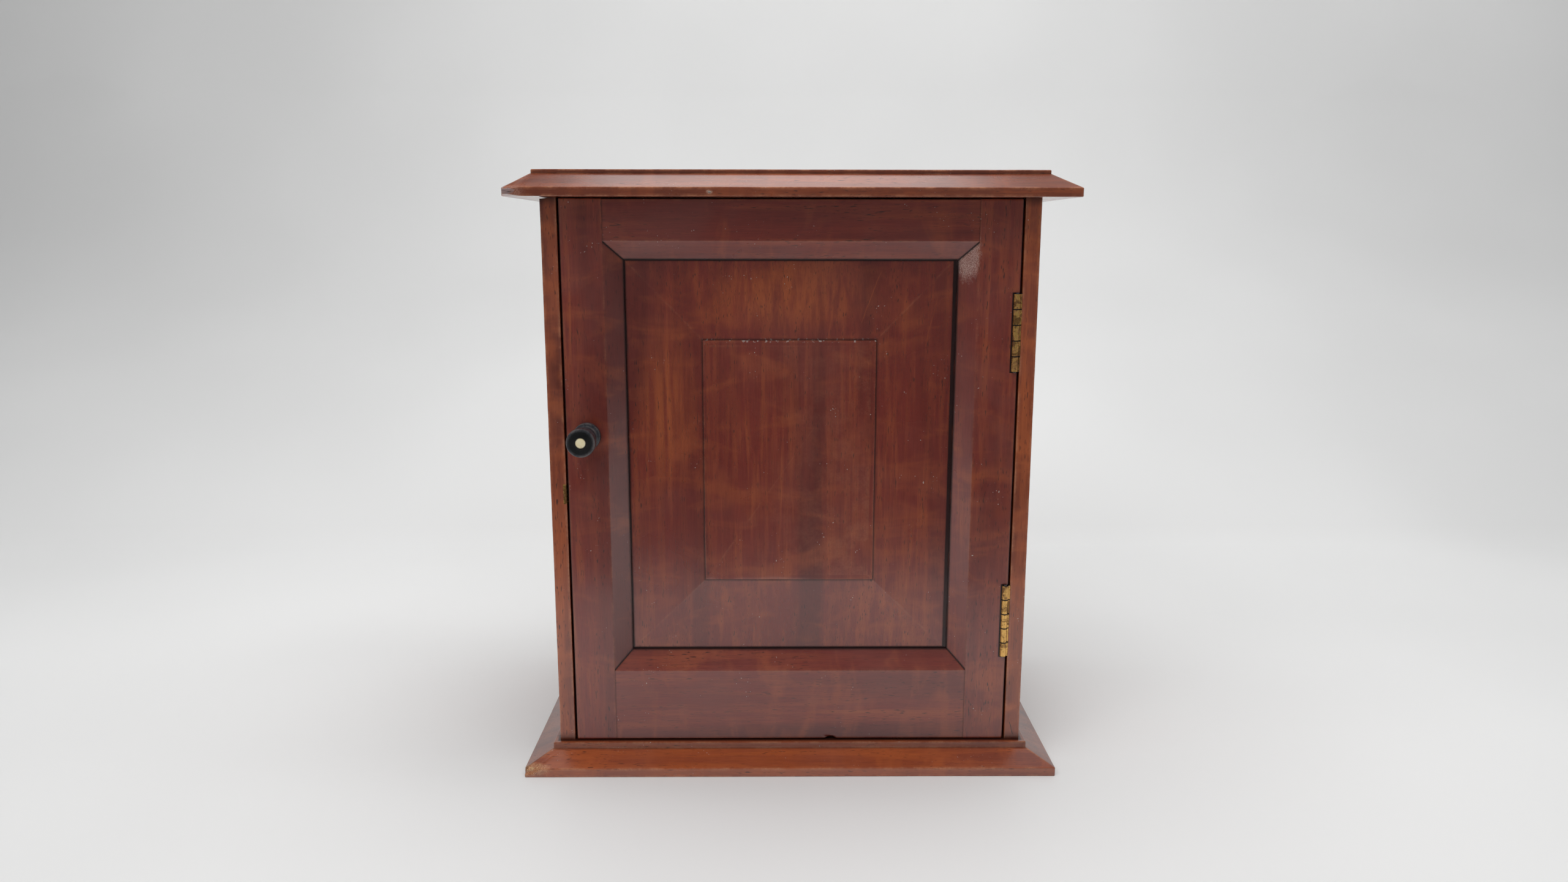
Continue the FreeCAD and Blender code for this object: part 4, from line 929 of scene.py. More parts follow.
class ARMOIRE_OT_sides(bpy.types.Operator):
    """Stands the two sides, each with a rebate for the back"""

    bl_idname = "armoire.sides"
    bl_label = "Sides"

    def execute(self, context):
        sizes = sizes_of("armoire_case")
        colours = sizes_of("armoire_colours")
        outer, inner = SIDE_LOW[X], SIDE_HIGH[X]
        back, rebate = SIDE_HIGH[Y], sizes.rebate
        corners = [[outer, FRONT], [inner, FRONT], [inner, back - rebate],
                   [inner - rebate, back - rebate], [inner - rebate, back], [outer, back]]
        profile, marks = softened(corners, [sizes.arris * 0.8] * 2 + [0.2 * MM] * 3
                                  + [sizes.arris], closed=True)
        seat = sizes_of("armoire_fittings")
        lip, seat_end = STRIKE_LOW[X], STRIKE_HIGH[Y]
        sliver = 0.02 * MM
        hole = (BULLET_LOW + BULLET_HIGH) / 2
        across = np.linspace(-1.04, 1.04, 15) * seat.strike_hole
        seat_edges = [[lip, FRONT], [lip + sliver, FRONT], [inner, seat_end - sliver],
                      [inner, seat_end]]
        profile, marks = studded(profile, marks,
                                 seat_edges + [[inner, hole[Y] + step] for step in across])
        height = np.linspace(SIDE_LOW[Z], SIDE_HIGH[Z], 61)
        ends = np.array([STRIKE_LOW[Z], STRIKE_HIGH[Z]])
        seat_heights = np.concatenate([ends, ends + [sliver, -sliver], hole[Z] + across])
        height = np.union1d(height, seat_heights)
        rings = np.empty((len(height), len(profile), 3))
        rings[..., :2] = profile[None]
        rings[..., Z] = height[:, None]
        rubbed = np.repeat(marks[None], len(height), axis=0)
        # Painted shade where the sides meet the base and the top: darker within about 2 mm of each
        # end.
        near_end = np.minimum(height - height[0], height[-1] - height)
        grime = 0.8 * (1 - fade(near_end, 0.3 * MM, 2.2 * MM))
        grime = grime[:, None] * np.ones(len(profile))
        rings[..., :2] += (wavering(rings, 0.12 * MM, 11) * rubbed[..., None])[..., :2]
        rings = np.clip(rings, SIDE_LOW, SIDE_HIGH)
        left = rings.copy()
        outside = fade(-left[..., X], -outer - 7.5 * MM, -outer - 5.5 * MM)
        ahead = 1 - fade(left[..., Y], FRONT + 30 * MM, FRONT + 48 * MM)
        high = fade(left[..., Z], height[-1] - 6 * MM, height[-1])
        left[..., Z] -= sizes.settled * outside * ahead * high
        rounded = sizes.arris * 0.8 + 0.001 * MM
        seated = ((height > ends[0] + sliver / 2) & (height < ends[1] - sliver / 2))[:, None]
        in_front = (profile[:, 0] > lip + sliver / 2) & (profile[:, 1] < FRONT + rounded)
        in_side = (profile[:, 0] > inner - rounded) & (profile[:, 1] < seat_end - sliver / 2)
        from_hole = np.hypot(left[..., Y] - hole[Y], left[..., Z] - hole[Z])
        drilled = (1 - fade(from_hole, 0.84 * seat.strike_hole, seat.strike_hole)) * in_side
        left[..., Y] += seat.strike_plate * seated * in_front
        left[..., X] -= seat.strike_plate * seated * in_side
        left[..., X] -= (seat.strike_depth - seat.strike_plate) * drilled
        # Painted shade in the strike hole, and half as much over the plate's seat.
        cut = np.maximum(drilled, 0.5 * seated * (in_side | in_front))
        right = rings * np.array([-1.0, 1.0, 1.0])
        split = Scratch(x0=0.1517, z0=0.0305, x1=0.1552, z1=0.0196, half_width=0.35 * MM,
                        tone=(0.02, 0.008, 0.006), amount=0.95)
        # A patch of painted light halfway up the right side's front.
        knob_side = LitPatch(point=(0.154, FRONT, 0.20), reach=120 * MM, stretch=(1, 1, 1))
        made = (("left_side", "side_left", (4.1, 0.2, 0.6), 0.75, [],
                 shell(left, rubbed * (1 - np.ceil(cut)), np.maximum(grime, cut))),
                ("right_side", "side_right", (2.3, 3.2, 0.9), 1.1, [split],
                 shell(right, rubbed, grime)))
        for name, node, shift, glow, scratches, skin in made:
            finish = mahogany(name + "_mahogany", Z, shift, colours.wood_case, glow=glow,
                              haze=0.30, wear=0.7, glow_start=0.44, gloss=0.33,
                              lit_patches=[knob_side], scratches=scratches)
            put(name, [skin], finish, "case", "case_mahogany", [node])
        return {"FINISHED"}


# ---------------------------------------------------------------- the door


MITRE_GAP = 0.10 * MM
SEAM = 0.03 * MM
TONGUE = 4.1 * MM
TONGUE_PLAY = 0.1 * MM
FACE_LINES = np.array([2.3, 3.2, 4.4, 6.0, 9.0]) * MM


def frame_profile(width, sizes):
    """A stile's or rail's profile, as (distance from the outer edge, depth from the face).

    It goes from the back round the outer edge to the face, down the bevel at the sight, past
    the groove at the mouth, and home to the back. inner is true past the sight."""
    thick = STILE_HIGH[Y] - STILE_LOW[Y]
    sight, mouth = width - sizes.bevel, width
    tongue_front = PANEL_HIGH[Y] - TONGUE - STILE_LOW[Y]
    tongue_back = PANEL_HIGH[Y] + TONGUE_PLAY - STILE_LOW[Y]
    deep = mouth + sizes.groove
    corners = [[sight - SEAM, thick], [0, thick], [0, 0], [sight, 0], [mouth, sizes.fall],
               [mouth, tongue_front], [deep, tongue_front], [deep, tongue_back],
               [mouth, tongue_back], [mouth, thick], [sight + SEAM, thick]]
    tiny = 0.15 * MM
    radii = [0, sizes.arris, sizes.arris, 0.45 * MM, 0.35 * MM, tiny, tiny, tiny, tiny,
             0.4 * MM, 0]
    profile, marks = softened(corners, radii)
    spans = np.where(profile[:-1, 1] + profile[1:, 1] == 0, np.diff(profile[:, 0]), 0.0)
    at = int(np.argmax(spans)) + 1
    extra = np.column_stack([FACE_LINES, np.zeros(len(FACE_LINES))])
    profile = np.insert(profile, [at] * len(extra), extra, axis=0)
    marks = np.insert(marks, at, np.zeros(len(extra)))
    return profile, marks, profile[:, 0] > sight, sight, thick


def frame_member(width, sizes, low, high, sight_low, sight_high, place, ends, stations):
    """A stile or rail: its profile carried from end to end, its bevel cut to a mitre, where
    a point that is d past the sight stops d short of where the sight stops."""
    profile, marks, inner, sight, thick = frame_profile(width, sizes)
    past = np.where(inner, profile[:, 0] - sight + MITRE_GAP, 0.0)
    start = np.where(inner, sight_low + past, low)
    finish = np.where(inner, sight_high - past, high)
    radius = sizes.arris
    core = np.column_stack([np.maximum(profile[:, 0], radius),
                            np.clip(profile[:, 1], radius, thick - radius)])
    draw = np.where(inner[:, None] | (ends == 0), 0.0, core - profile)
    rings, rubbed, dirty_and_shaded = run_along(profile, marks, place, start, finish, draw, ends,
                                     stations)
    inside = np.flatnonzero(inner)
    first, last = inside[0], inside[-1]
    caps = [np.flatnonzero(~inner), inside,
            np.array([first - 1, first, last, (last + 1) % len(profile)])]
    # Painted shade at the ends: on the bevel at the mitres, and on a rail's outer face at the
    # joints with the stiles; also along the outer front edge beside the case, and in the panel's
    # gap.
    soiled_and_shaded = dirty_and_shaded[:, None] * np.where(inner, 0.95, 0.8 if ends == 0 else 0.0)[None]
    rim = 1 - fade(profile[:, 0], 0.3 * MM, 0.9 * MM)
    rim = rim * (1 - fade(profile[:, 1], 0.3 * MM, 1.4 * MM))
    soiled_and_shaded = np.maximum(soiled_and_shaded, rim[None])
    soiled_and_shaded = np.maximum(soiled_and_shaded, crevice(profile, sizes, width)[None])
    return rings, rubbed, soiled_and_shaded, caps


def crevice(profile, sizes, width):
    """Painted shade by the panel's gap: full at the mouth's wall, and gone 0.7 mm up the bevel."""
    short = width - profile[:, 0]
    deepest = 17 * MM
    wall = (profile[:, 1] > sizes.fall - 0.4 * MM) & (profile[:, 1] < deepest)
    return np.where(wall, 1.0, 0.0) * (1 - fade(short, 0.2 * MM, 0.7 * MM))


class ARMOIRE_OT_stiles(bpy.types.Operator):
    """Stands the door's closing stile and hanging stile"""

    bl_idname = "armoire.stiles"
    bl_label = "Door stiles"

    def execute(self, context):
        sizes = sizes_of("armoire_door")
        colours = sizes_of("armoire_colours")
        width = STILE_HIGH[X] - STILE_LOW[X]
        foot_sight = FOOT_HIGH[Z] - sizes.bevel
        head_sight = RAIL_LOW[Z] + sizes.bevel
        made = (("closing_stile_wood", "closing_stile", 1.0, (0.9, 1.4, 3.3), 0.40),
                ("hanging_stile_wood", "hanging_stile", -1.0, (6.2, 2.4, 5.1), 0.45))
        for name, node, side, shift, glow in made:
            def place(flat, height):
                rings = np.empty(flat.shape[:2] + (3,))
                rings[..., X] = side * (STILE_LOW[X] + flat[..., 0])
                rings[..., Y] = STILE_LOW[Y] + flat[..., 1]
                rings[..., Z] = height
                return rings
            rings, rubbed, soiled_and_shaded, caps = frame_member(
                width, sizes, STILE_LOW[Z], STILE_HIGH[Z], foot_sight, head_sight, place,
                sizes.arris, np.linspace(0, 1, 81)[1:-1])
            rings[..., Y] += 0.06 * MM * rubbed * (1 + np.sin(rings[..., Z] / (7 * MM)))
            scuffs, recesses = [], []
            if side < 0:
                # Painted shade in the recesses that the hinge leaves are let into.
                for hinge in ("upper_hinge_door_leaf", "lower_hinge_door_leaf"):
                    lowest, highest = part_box(hinge)
                    recesses.append(Recess(middle_x=145.1 * MM, half_x=2.9 * MM,
                                           middle_z=(lowest[Z] + highest[Z]) / 2,
                                           half_z=26.2 * MM))
                mitre = (side * (STILE_LOW[X] + width - 0.45 * sizes.bevel),
                         STILE_LOW[Y] + 0.5 * sizes.fall, head_sight - 8 * MM)
                scuffs.append(Chip(point=mitre, reach=8.5 * MM, stretch=(1.2, 0.6, 0.55),
                                   fresh=(0.86, 0.76, 0.74), depth=0.0))
            finish = mahogany(name, Z, shift, colours.wood_red, glow=glow, haze=0.42,
                              wear=0.22, gloss=0.31, figured=0.6, chips=scuffs,
                              recesses=recesses)
            put(name, [shell(rings, rubbed, soiled_and_shaded, caps)], finish, "door", "door_mahogany",
                [node])
        return {"FINISHED"}


class ARMOIRE_OT_rails(bpy.types.Operator):
    """Fits the door's top rail and bottom rail, with the nick in its foot"""

    bl_idname = "armoire.rails"
    bl_label = "Door rails"

    def execute(self, context):
        sizes = sizes_of("armoire_door")
        colours = sizes_of("armoire_colours")
        half = RAIL_HIGH[X]
        made = (("top_rail_wood", "top_rail", RAIL_HIGH[Z], -1.0, (3.1, 0.7, 2.2), 0.30),
                ("bottom_rail_wood", "bottom_rail", FOOT_LOW[Z], 1.0, (7.7, 2.1, 4.6), 0.40))
        nick = 28.6 * MM
        nick_lean = 1.2
        for name, node, edge, way, shift, glow in made:
            def place(flat, height):
                rings = np.empty(flat.shape[:2] + (3,))
                rings[..., X] = height
                rings[..., Y] = RAIL_LOW[Y] + flat[..., 1]
                rings[..., Z] = edge + way * flat[..., 0]
                return rings
            width = RAIL_HIGH[Z] - RAIL_LOW[Z] if way < 0 else FOOT_HIGH[Z] - FOOT_LOW[Z]
            even = np.linspace(0, 1, 61)[1:-1]
            close = 0.5 + (nick + np.linspace(-9, 9, 25) * MM) / (2 * half)
            rings, rubbed, soiled_and_shaded, caps = frame_member(
                width, sizes, -half + SEAM, half - SEAM, -half, half, place, 0.0,
                np.unique(np.concatenate([even, close])))
            if way > 0:
                across = np.abs(rings[..., X] - nick + nick_lean * (rings[..., Z] - edge))
                lost = 1 - fade(across, 1.3 * MM, 4.6 * MM)
                lost = lost * (1 - fade(rings[..., Z], edge + 0.5 * MM, edge + 3 * MM))
                lost = lost * (1 - fade(rings[..., Y], FRONT + 1.0 * MM, FRONT + 6 * MM))
                rings[..., Z] += sizes.nick * lost
                rings[..., Y] += 0.5 * MM * lost
            finish = mahogany(name, X, shift, colours.wood_red, glow=glow, haze=0.4,
                              wear=0.22, gloss=0.31, figured=0.75)
            put(name, [shell(rings, rubbed, soiled_and_shaded, caps)], finish, "door", "door_mahogany",
                [node])
        return {"FINISHED"}


TONGUE_SIDE = 5.7 * MM
TONGUE_FOOT = 6.0 * MM
TONGUE_HEAD = 4.8 * MM
TALL_SLOPE = 51.9 * MM
TALL_SHARE = 1.0177


class ARMOIRE_OT_panel(bpy.types.Operator):
    """Slides in the raised-and-fielded panel"""

    bl_idname = "armoire.panel"
    bl_label = "Door panel"

    def execute(self, context):
        sizes = sizes_of("armoire_door")
        colours = sizes_of("armoire_colours")
        front, back = PANEL_LOW[Y], PANEL_HIGH[Y]
        foot = front + sizes.step + sizes.rise
        half = (PANEL_HIGH[X] - PANEL_LOW[X]) / 2
        middle_x = (PANEL_HIGH[X] + PANEL_LOW[X]) / 2
        field_half = half - TONGUE_SIDE - sizes.slope
        tall_low = PANEL_LOW[Z] + TONGUE_FOOT + TALL_SLOPE
        tall_high = PANEL_HIGH[Z] - TONGUE_HEAD - TALL_SLOPE
        reach = sizes.slope + TONGUE_SIDE
        corners = [[reach - 3 * MM, back], [reach, back], [reach, foot], [sizes.slope, foot],
                   [0, front + sizes.step], [0, front], [-3 * MM, front]]
        radii = [0, 0.2 * MM, 0.2 * MM, 2 * MM, 0.25 * MM, 0.3 * MM, 0]
        profile, marks = softened(corners, radii)
        profile, marks = divided(profile, marks, 16)
        marks = np.where(profile[:, 0] > 0.6 * MM, 0, marks)
        spread = profile[:, :1] * np.array([TALL_SHARE, 1.0])
        lows = np.array([tall_low, middle_x - field_half]) - spread
        highs = np.array([tall_high, middle_x + field_half]) + spread
        lows[:, 0] = np.maximum(lows[:, 0], PANEL_LOW[Z])
        highs[:, 0] = np.minimum(highs[:, 0], PANEL_HIGH[Z])
        rings, rubbed = stacked(Y, lows, highs, profile[:, 1], marks, 0.25 * MM, 56)
        # Painted shade in the inner corners: at the foot of the slope and at the foot of the
        # field's step.
        at_foot = 1 - fade(np.abs(profile[:, 0] - sizes.slope), 0.1 * MM, 1.0 * MM)
        at_step = 0.75 * (1 - fade(profile[:, 0], 0.3 * MM, 1.2 * MM)) * (profile[:, 0] > 0)
        grime = np.maximum(at_foot, at_step * (profile[:, 1] > front + 0.4 * sizes.step))
        grime = grime[:, None] * np.ones(rings.shape[1])
        level = marks[:, None] * np.ones(rings.shape[1])
        rings = rings + wavering(rings, 0.22 * MM, 21, 14 * MM, 90 * MM) * level[..., None]
        rings[..., Y] = np.maximum(rings[..., Y], front)
        pale = tuple(colours.wood_glow)
        # Patches of painted light: the top of the panel and its left shoulder lifted towards
        # orange.
        head = LitPatch(point=(0.0, front, 0.322), reach=75 * MM, stretch=(1.0, 1.0, 2.6))
        shoulder = LitPatch(point=(-0.082, front, 0.250), reach=60 * MM, stretch=(2.4, 1.0, 0.8))
        long_one = Scratch(x0=0.0595, z0=0.340, x1=0.045, z1=0.303, half_width=0.5 * MM,
                           tone=pale, amount=0.30)
        short_one = Scratch(x0=0.096, z0=0.323, x1=0.088, z1=0.288, half_width=0.4 * MM,
                            tone=pale, amount=0.25)
        finish = mahogany("panel_mahogany", Z, (2.6, 4.4, 1.3), colours.wood_red, glow=0.38,
                          haze=0.22, wear=0.20, glow_start=0.46, figured=0.62, dusty=True,
                          lit_patches=[head, shoulder], scratches=[long_one, short_one])
        piece = put("fielded_panel", [shell(rings, rubbed, grime)], finish, "door",
                    "panel_mahogany", ["door_panel"])
        ledge = level * (np.abs(rings[..., Z] - tall_high) < 1.2 * MM)
        layer = piece.data.attributes.new("dust", "FLOAT", "POINT")
        layer.data.foreach_set("value", ledge.ravel().astype(np.float32))
        return {"FINISHED"}


# ---------------------------------------------------------------- knob and fittings


class ARMOIRE_OT_knob(bpy.types.Operator):
    """Turns the ebony knob and its bone inlay"""

    bl_idname = "armoire.knob"
    bl_label = "Knob"

    def execute(self, context):
        sizes = sizes_of("armoire_fittings")
        centre = (KNOB_LOW + KNOB_HIGH) / 2
        centre[Y] = FRONT
        rim = (KNOB_HIGH[X] - KNOB_LOW[X]) / 2
        reach = FRONT - KNOB_LOW[Y]
        dot = (INLAY_HIGH[X] - INLAY_LOW[X]) / 2
        deep = INLAY_HIGH[Y] - INLAY_LOW[Y]
        flange = rim - 0.3 * MM
        face_back = reach - sizes.face
        bead_front = face_back - 0.7 * MM
        bead_back = bead_front - sizes.bead
        corners = [[0.3 * MM, 0], [flange, 0], [flange, sizes.collar],
                   [sizes.waist, sizes.collar + 1.6 * MM],
                   [sizes.waist - 0.3 * MM, (sizes.collar + bead_back) / 2],
                   [sizes.waist, bead_back - 0.8 * MM],
                   [rim - 0.6 * MM, bead_back], [rim - 0.6 * MM, bead_front],
                   [sizes.waist + 0.4 * MM, bead_front + 0.1 * MM],
                   [sizes.waist + 0.4 * MM, face_back - 0.1 * MM], [rim, face_back],
                   [rim, reach], [dot + 0.12 * MM, reach], [dot + 0.12 * MM, reach - deep],
                   [0.3 * MM, reach - deep]]
        radii = [0, 0.3, 0.7, 0.9, 4.0, 0.9, 0.8, 0.8, 0.1, 0.1, 0.7, 0.75, 0.2, 0.1, 0]
        profile, marks = softened(corners, np.array(radii) * MM)
        profile[:, 1] = np.clip(profile[:, 1], 0, reach)
        rings, rubbed = turned(profile, marks, centre, (0, -1, 0), sizes.turns)
        # Painted shade in the waist behind the bead and in the well round the inlay.
        tight = (profile[:, 0] < sizes.waist + 0.9 * MM) & (profile[:, 1] > bead_front)
        well = (profile[:, 0] < dot + 0.5 * MM) & (profile[:, 1] > face_back)
        grime = (tight | well).astype(float)[:, None] * np.ones(sizes.turns)
        put("turned_knob", [shell(rings, rubbed, grime)], polished_ebony(), "door", "ebony",
            ["knob"])
        corners = [[0.2 * MM, reach - deep], [dot, reach - deep], [dot, reach - 0.15 * MM],
                   [dot * 0.55, reach], [0.2 * MM, reach]]
        profile, marks = softened(corners, np.array([0, 0.1, 0.25, 2.0, 0]) * MM)
        rings, rubbed = turned(profile, marks, centre, (0, -1, 0), sizes.turns)
        # Dirt and painted shade at the inlay's rim, in the gap round it.
        ringed = fade(profile[:, 0], dot - 0.45 * MM, dot - 0.1 * MM)[:, None]
        put("knob_dot", [shell(rings, rubbed, ringed * np.ones(sizes.turns))],
            yellowed_bone(), "door", "bone", ["knob_inlay"])
        return {"FINISHED"}


class ARMOIRE_OT_catch(bpy.types.Operator):
    """Turns the bullet of the catch, and finishes the barrel, the spring and the strike"""

    bl_idname = "armoire.catch"
    bl_label = "Bullet catch"

    def execute(self, context):
        centre = (BULLET_LOW + BULLET_HIGH) / 2
        centre[X] = BULLET_HIGH[X]
        length = BULLET_HIGH[X] - BULLET_LOW[X]
        radius = (BULLET_HIGH[Z] - BULLET_LOW[Z]) / 2
        corners = [[0.15 * MM, 0], [radius, 0], [radius, length - 1.7 * MM],
                   [radius * 0.72, length - 0.45 * MM], [0.15 * MM, length]]
        profile, marks = softened(corners, np.array([0, 0.2, 0.9, 0.7, 0]) * MM)
        rings, rubbed = turned(profile, marks, centre, (-1, 0, 0), 48)
        steel = dull_steel("dull_steel")
        put("bullet", [shell(rings, rubbed)], steel, "catch", "steel", ["catch_bullet"])
        repaint(steel, "catch_spring", "hinge_pins", "knob_screw", "knob_washer")
        repaint(aged_brass("catch_brass", 0.85, (0.2, 0.1, 0.5)), "catch_barrel",
                "strike_plate", "strike_pins")
        return {"FINISHED"}


KNUCKLES = 5
PEGS = 6


class ARMOIRE_OT_hinges(bpy.types.Operator):
    """Finishes both brass butt hinges, and the screws of the hinges and the back"""

    bl_idname = "armoire.hinges"
    bl_label = "Hinges and screws"

    def execute(self, context):
        made = (("upper_hinge", 0.66, (0.0, 0.0, 0.0)), ("lower_hinge", 0.95, (0.3, 0.7, 0.4)))
        for name, bright, shift in made:
            low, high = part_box(name + "_case_leaf")
            # Dirt and painted shade at the knuckle joints, one every fifth of the leaf's height.
            joints = (low[Z], (high[Z] - low[Z]) / KNUCKLES)
            repaint(aged_brass(name + "_brass", bright, shift, joints),
                    name + "_case_leaf", name + "_door_leaf")
        repaint(aged_brass("screw_brass", 0.40, (0.8, 0.2, 0.1)), "hinge_case_screws",
                "hinge_door_screws", "back_screws")
        return {"FINISHED"}


# ---------------------------------------------------------------- the inside


class ARMOIRE_OT_inside(bpy.types.Operator):
    """Fits the shelves, the peg rail, the stops, the back and the dowels"""

    bl_idname = "armoire.inside"
    bl_label = "Inner boards"

    def execute(self, context):
        colours = sizes_of("armoire_colours")
        made = (("lower_shelf", "inner_mahogany", X, colours.wood_inside, "lower_shelf_board"),
                ("upper_shelf", "inner_mahogany", X, colours.wood_inside, "upper_shelf_board"),
                ("peg_rail", "inner_mahogany", X, colours.wood_inside, "peg_rail_board"),
                ("back_panel", "back_wood", Z, colours.wood_back, "back_board"))
        for number, (node, slot, along, tone, name) in enumerate(made):
            low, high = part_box(node)
            rings, rubbed = board(low, high, along, 0.5 * MM)
            finish = plain_wood(name + "_wood", along, (number * 1.7, 0.6, 2.2), tone)
            put(name, [shell(rings, rubbed)], finish, "case", slot, [node])
        low, high = cad_box("door_stops")
        thick = 8 * MM
        blocks = []
        for bottom in (low[Z], high[Z] - thick):
            rings, rubbed = board((low[X], low[Y], bottom), (high[X], high[Y], bottom + thick),
                                  X, 0.6 * MM, 8, 12)
            blocks.append(shell(rings, rubbed))
        finish = plain_wood("stop_wood", X, (1.1, 2.6, 0.2), colours.wood_inside)
        put("stop_blocks", blocks, finish, "case", "inner_mahogany", ["door_stops"])
        repaint(plain_wood("dowel_beech", Z, (0.3, 0.1, 0.2), colours.wood_dowel),
                "base_dowels", "top_dowels")
        return {"FINISHED"}


class ARMOIRE_OT_pegs(bpy.types.Operator):
    """Turns the six brass pegs for necklaces"""

    bl_idname = "armoire.pegs"
    bl_label = "Necklace pegs"

    def execute(self, context):
        sizes = sizes_of("armoire_fittings")
        low, high = cad_box("necklace_pegs")
        head = (high[Z] - low[Z]) / 2
        length = high[Y] - low[Y]
        corners = [[0.2 * MM, 0], [sizes.peg, 0], [sizes.peg, length - 4.2 * MM],
                   [head, length - 3 * MM], [head, length - 1.1 * MM],
                   [head * 0.5, length], [0.2 * MM, length]]
        profile, marks = softened(corners, np.array([0, 0.1, 1.2, 0.4, 0.9, 2.4, 0]) * MM)
        profile[:, 1] = np.minimum(profile[:, 1], length)
        pegs = []
        for x in np.linspace(low[X] + head, high[X] - head, PEGS):
            centre = (x, high[Y], (low[Z] + high[Z]) / 2)
            rings, rubbed = turned(profile, marks, centre, (0, -1, 0), 32)
            pegs.append(shell(rings, rubbed))
        put("brass_pegs", pegs, aged_brass("peg_brass", 0.75, (0.1, 0.9, 0.4)), "case",
            "brass", ["necklace_pegs"])
        return {"FINISHED"}


def velvet_sheet(low, high, seed):
    """A laid sheet, as rings across its width: the top is the sheet's height times a
    rolled edge, 1 - (1 - t) cubed over the last 1.2 mm, plus a gentle wander, and the
    underside is flat."""
    roll = 1.2 * MM

    def spaced(start, stop, cells):
        near = np.array([0, 0.15, 0.4, 0.75, 1.0]) * roll
        even = np.linspace(start + roll, stop - roll, cells + 1)[1:-1]
        return np.concatenate([start + near, even, (stop - near)[::-1]])

    def rolled(values, start, stop):
        part = np.clip(np.minimum(values - start, stop - values) / roll, 0, 1)
        return 0.25 + 0.75 * (1 - (1 - part) ** 3)

    thick = high[Z] - low[Z]
    grid_x, grid_y = np.meshgrid(spaced(low[X], high[X], 110), spaced(low[Y], high[Y], 60))
    full = rolled(grid_x, low[X], high[X]) * rolled(grid_y, low[Y], high[Y])
    flat = np.stack([grid_x, grid_y, np.zeros_like(grid_x)], axis=-1)
    lift = wavering(flat, 1.0, seed, 25 * MM, 160 * MM)[..., Z]
    height = low[Z] + thick * full * (0.86 + 0.13 * lift / max(1e-9, np.abs(lift).max()))
    above = np.stack([grid_x, grid_y, height], axis=-1)
    below = np.stack([grid_x, grid_y, np.full_like(grid_x, low[Z])], axis=-1)[:, ::-1]
    rings = np.concatenate([above, below], axis=1)
    return rings, np.zeros(rings.shape[:2])


class ARMOIRE_OT_linings(bpy.types.Operator):
    """Lays the velvet on the floor and both shelves"""

    bl_idname = "armoire.linings"
    bl_label = "Velvet linings"

    def execute(self, context):
        velvet = cotton_velvet()
        made = (("floor_velvet", "floor_lining", "moulded_base"),
                ("lower_shelf_velvet", "lower_shelf_lining", "lower_shelf_board"),
                ("upper_shelf_velvet", "upper_shelf_lining", "upper_shelf_board"))
        for seed, (name, node, under) in enumerate(made):
            low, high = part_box(node)
            rings, none = velvet_sheet(low, high, seed)
            piece = put(name, [shell(rings, none)], velvet, "case", "velvet", [node])
        return {"FINISHED"}


# ---------------------------------------------------------------- the stage


# Soft lamps: watts, width and height, place, turn in radians, and whether polished wood
# reflects the lamp's shape.
Lamp = namedtuple("Lamp", "name watts size place turn mirrored")
LAMPS = (Lamp("overhead", 20.5, (2.0, 1.5), (-0.1, -0.32, 1.75), (0.0, 0.0, 0.0), False),
         Lamp("behind", 2.2, (0.85, 0.6), (0.0, 0.80, 1.80), (-0.1, 0.0, 0.0), True),
         Lamp("above", 2.1, (1.5, 0.45), (0.0, 0.34, 1.75), (0.0, 0.0, 0.0), True),
         Lamp("fill", 7.0, (1.2, 0.8), (-0.7, -1.3, 1.55), (0.85, 0.0, -0.45), False),
         Lamp("front", 2.2, (1.8, 0.5), (0.1, -1.5, 0.75), (-0.25, 0.0, 0.0), False),
         Lamp("wash", 11.0, (2.0, 0.6), (1.0, -0.1, 2.10), (0.95, 0.0, -0.15), False))
AIR_COLOUR = (0.96, 0.98, 1.0, 1.0)
AIR_STRENGTH = 0.13
PAPER = [[-2.4, 0], [0.475, 0], [1.25, 0.36], [1.75, 3.2]]
PAPER_BENDS = [0, 0.12, 0.5, 0]
PAPER_HALF_WIDTH = 4.0
CARD_HALF_WIDTH = 2.6
CARD_NEAR = -2.3
CARD_EDGE = -0.47
CARD_HEIGHT = 0.003
SENSOR_MM = 36.0
LENS_MM = 24.83
CAMERA_PLACE = (-0.01026, -0.78702, 0.36074)
CAMERA_YAW = -0.008311
CAMERA_PITCH = -0.187540
CAMERA_ROLL = -0.0013696


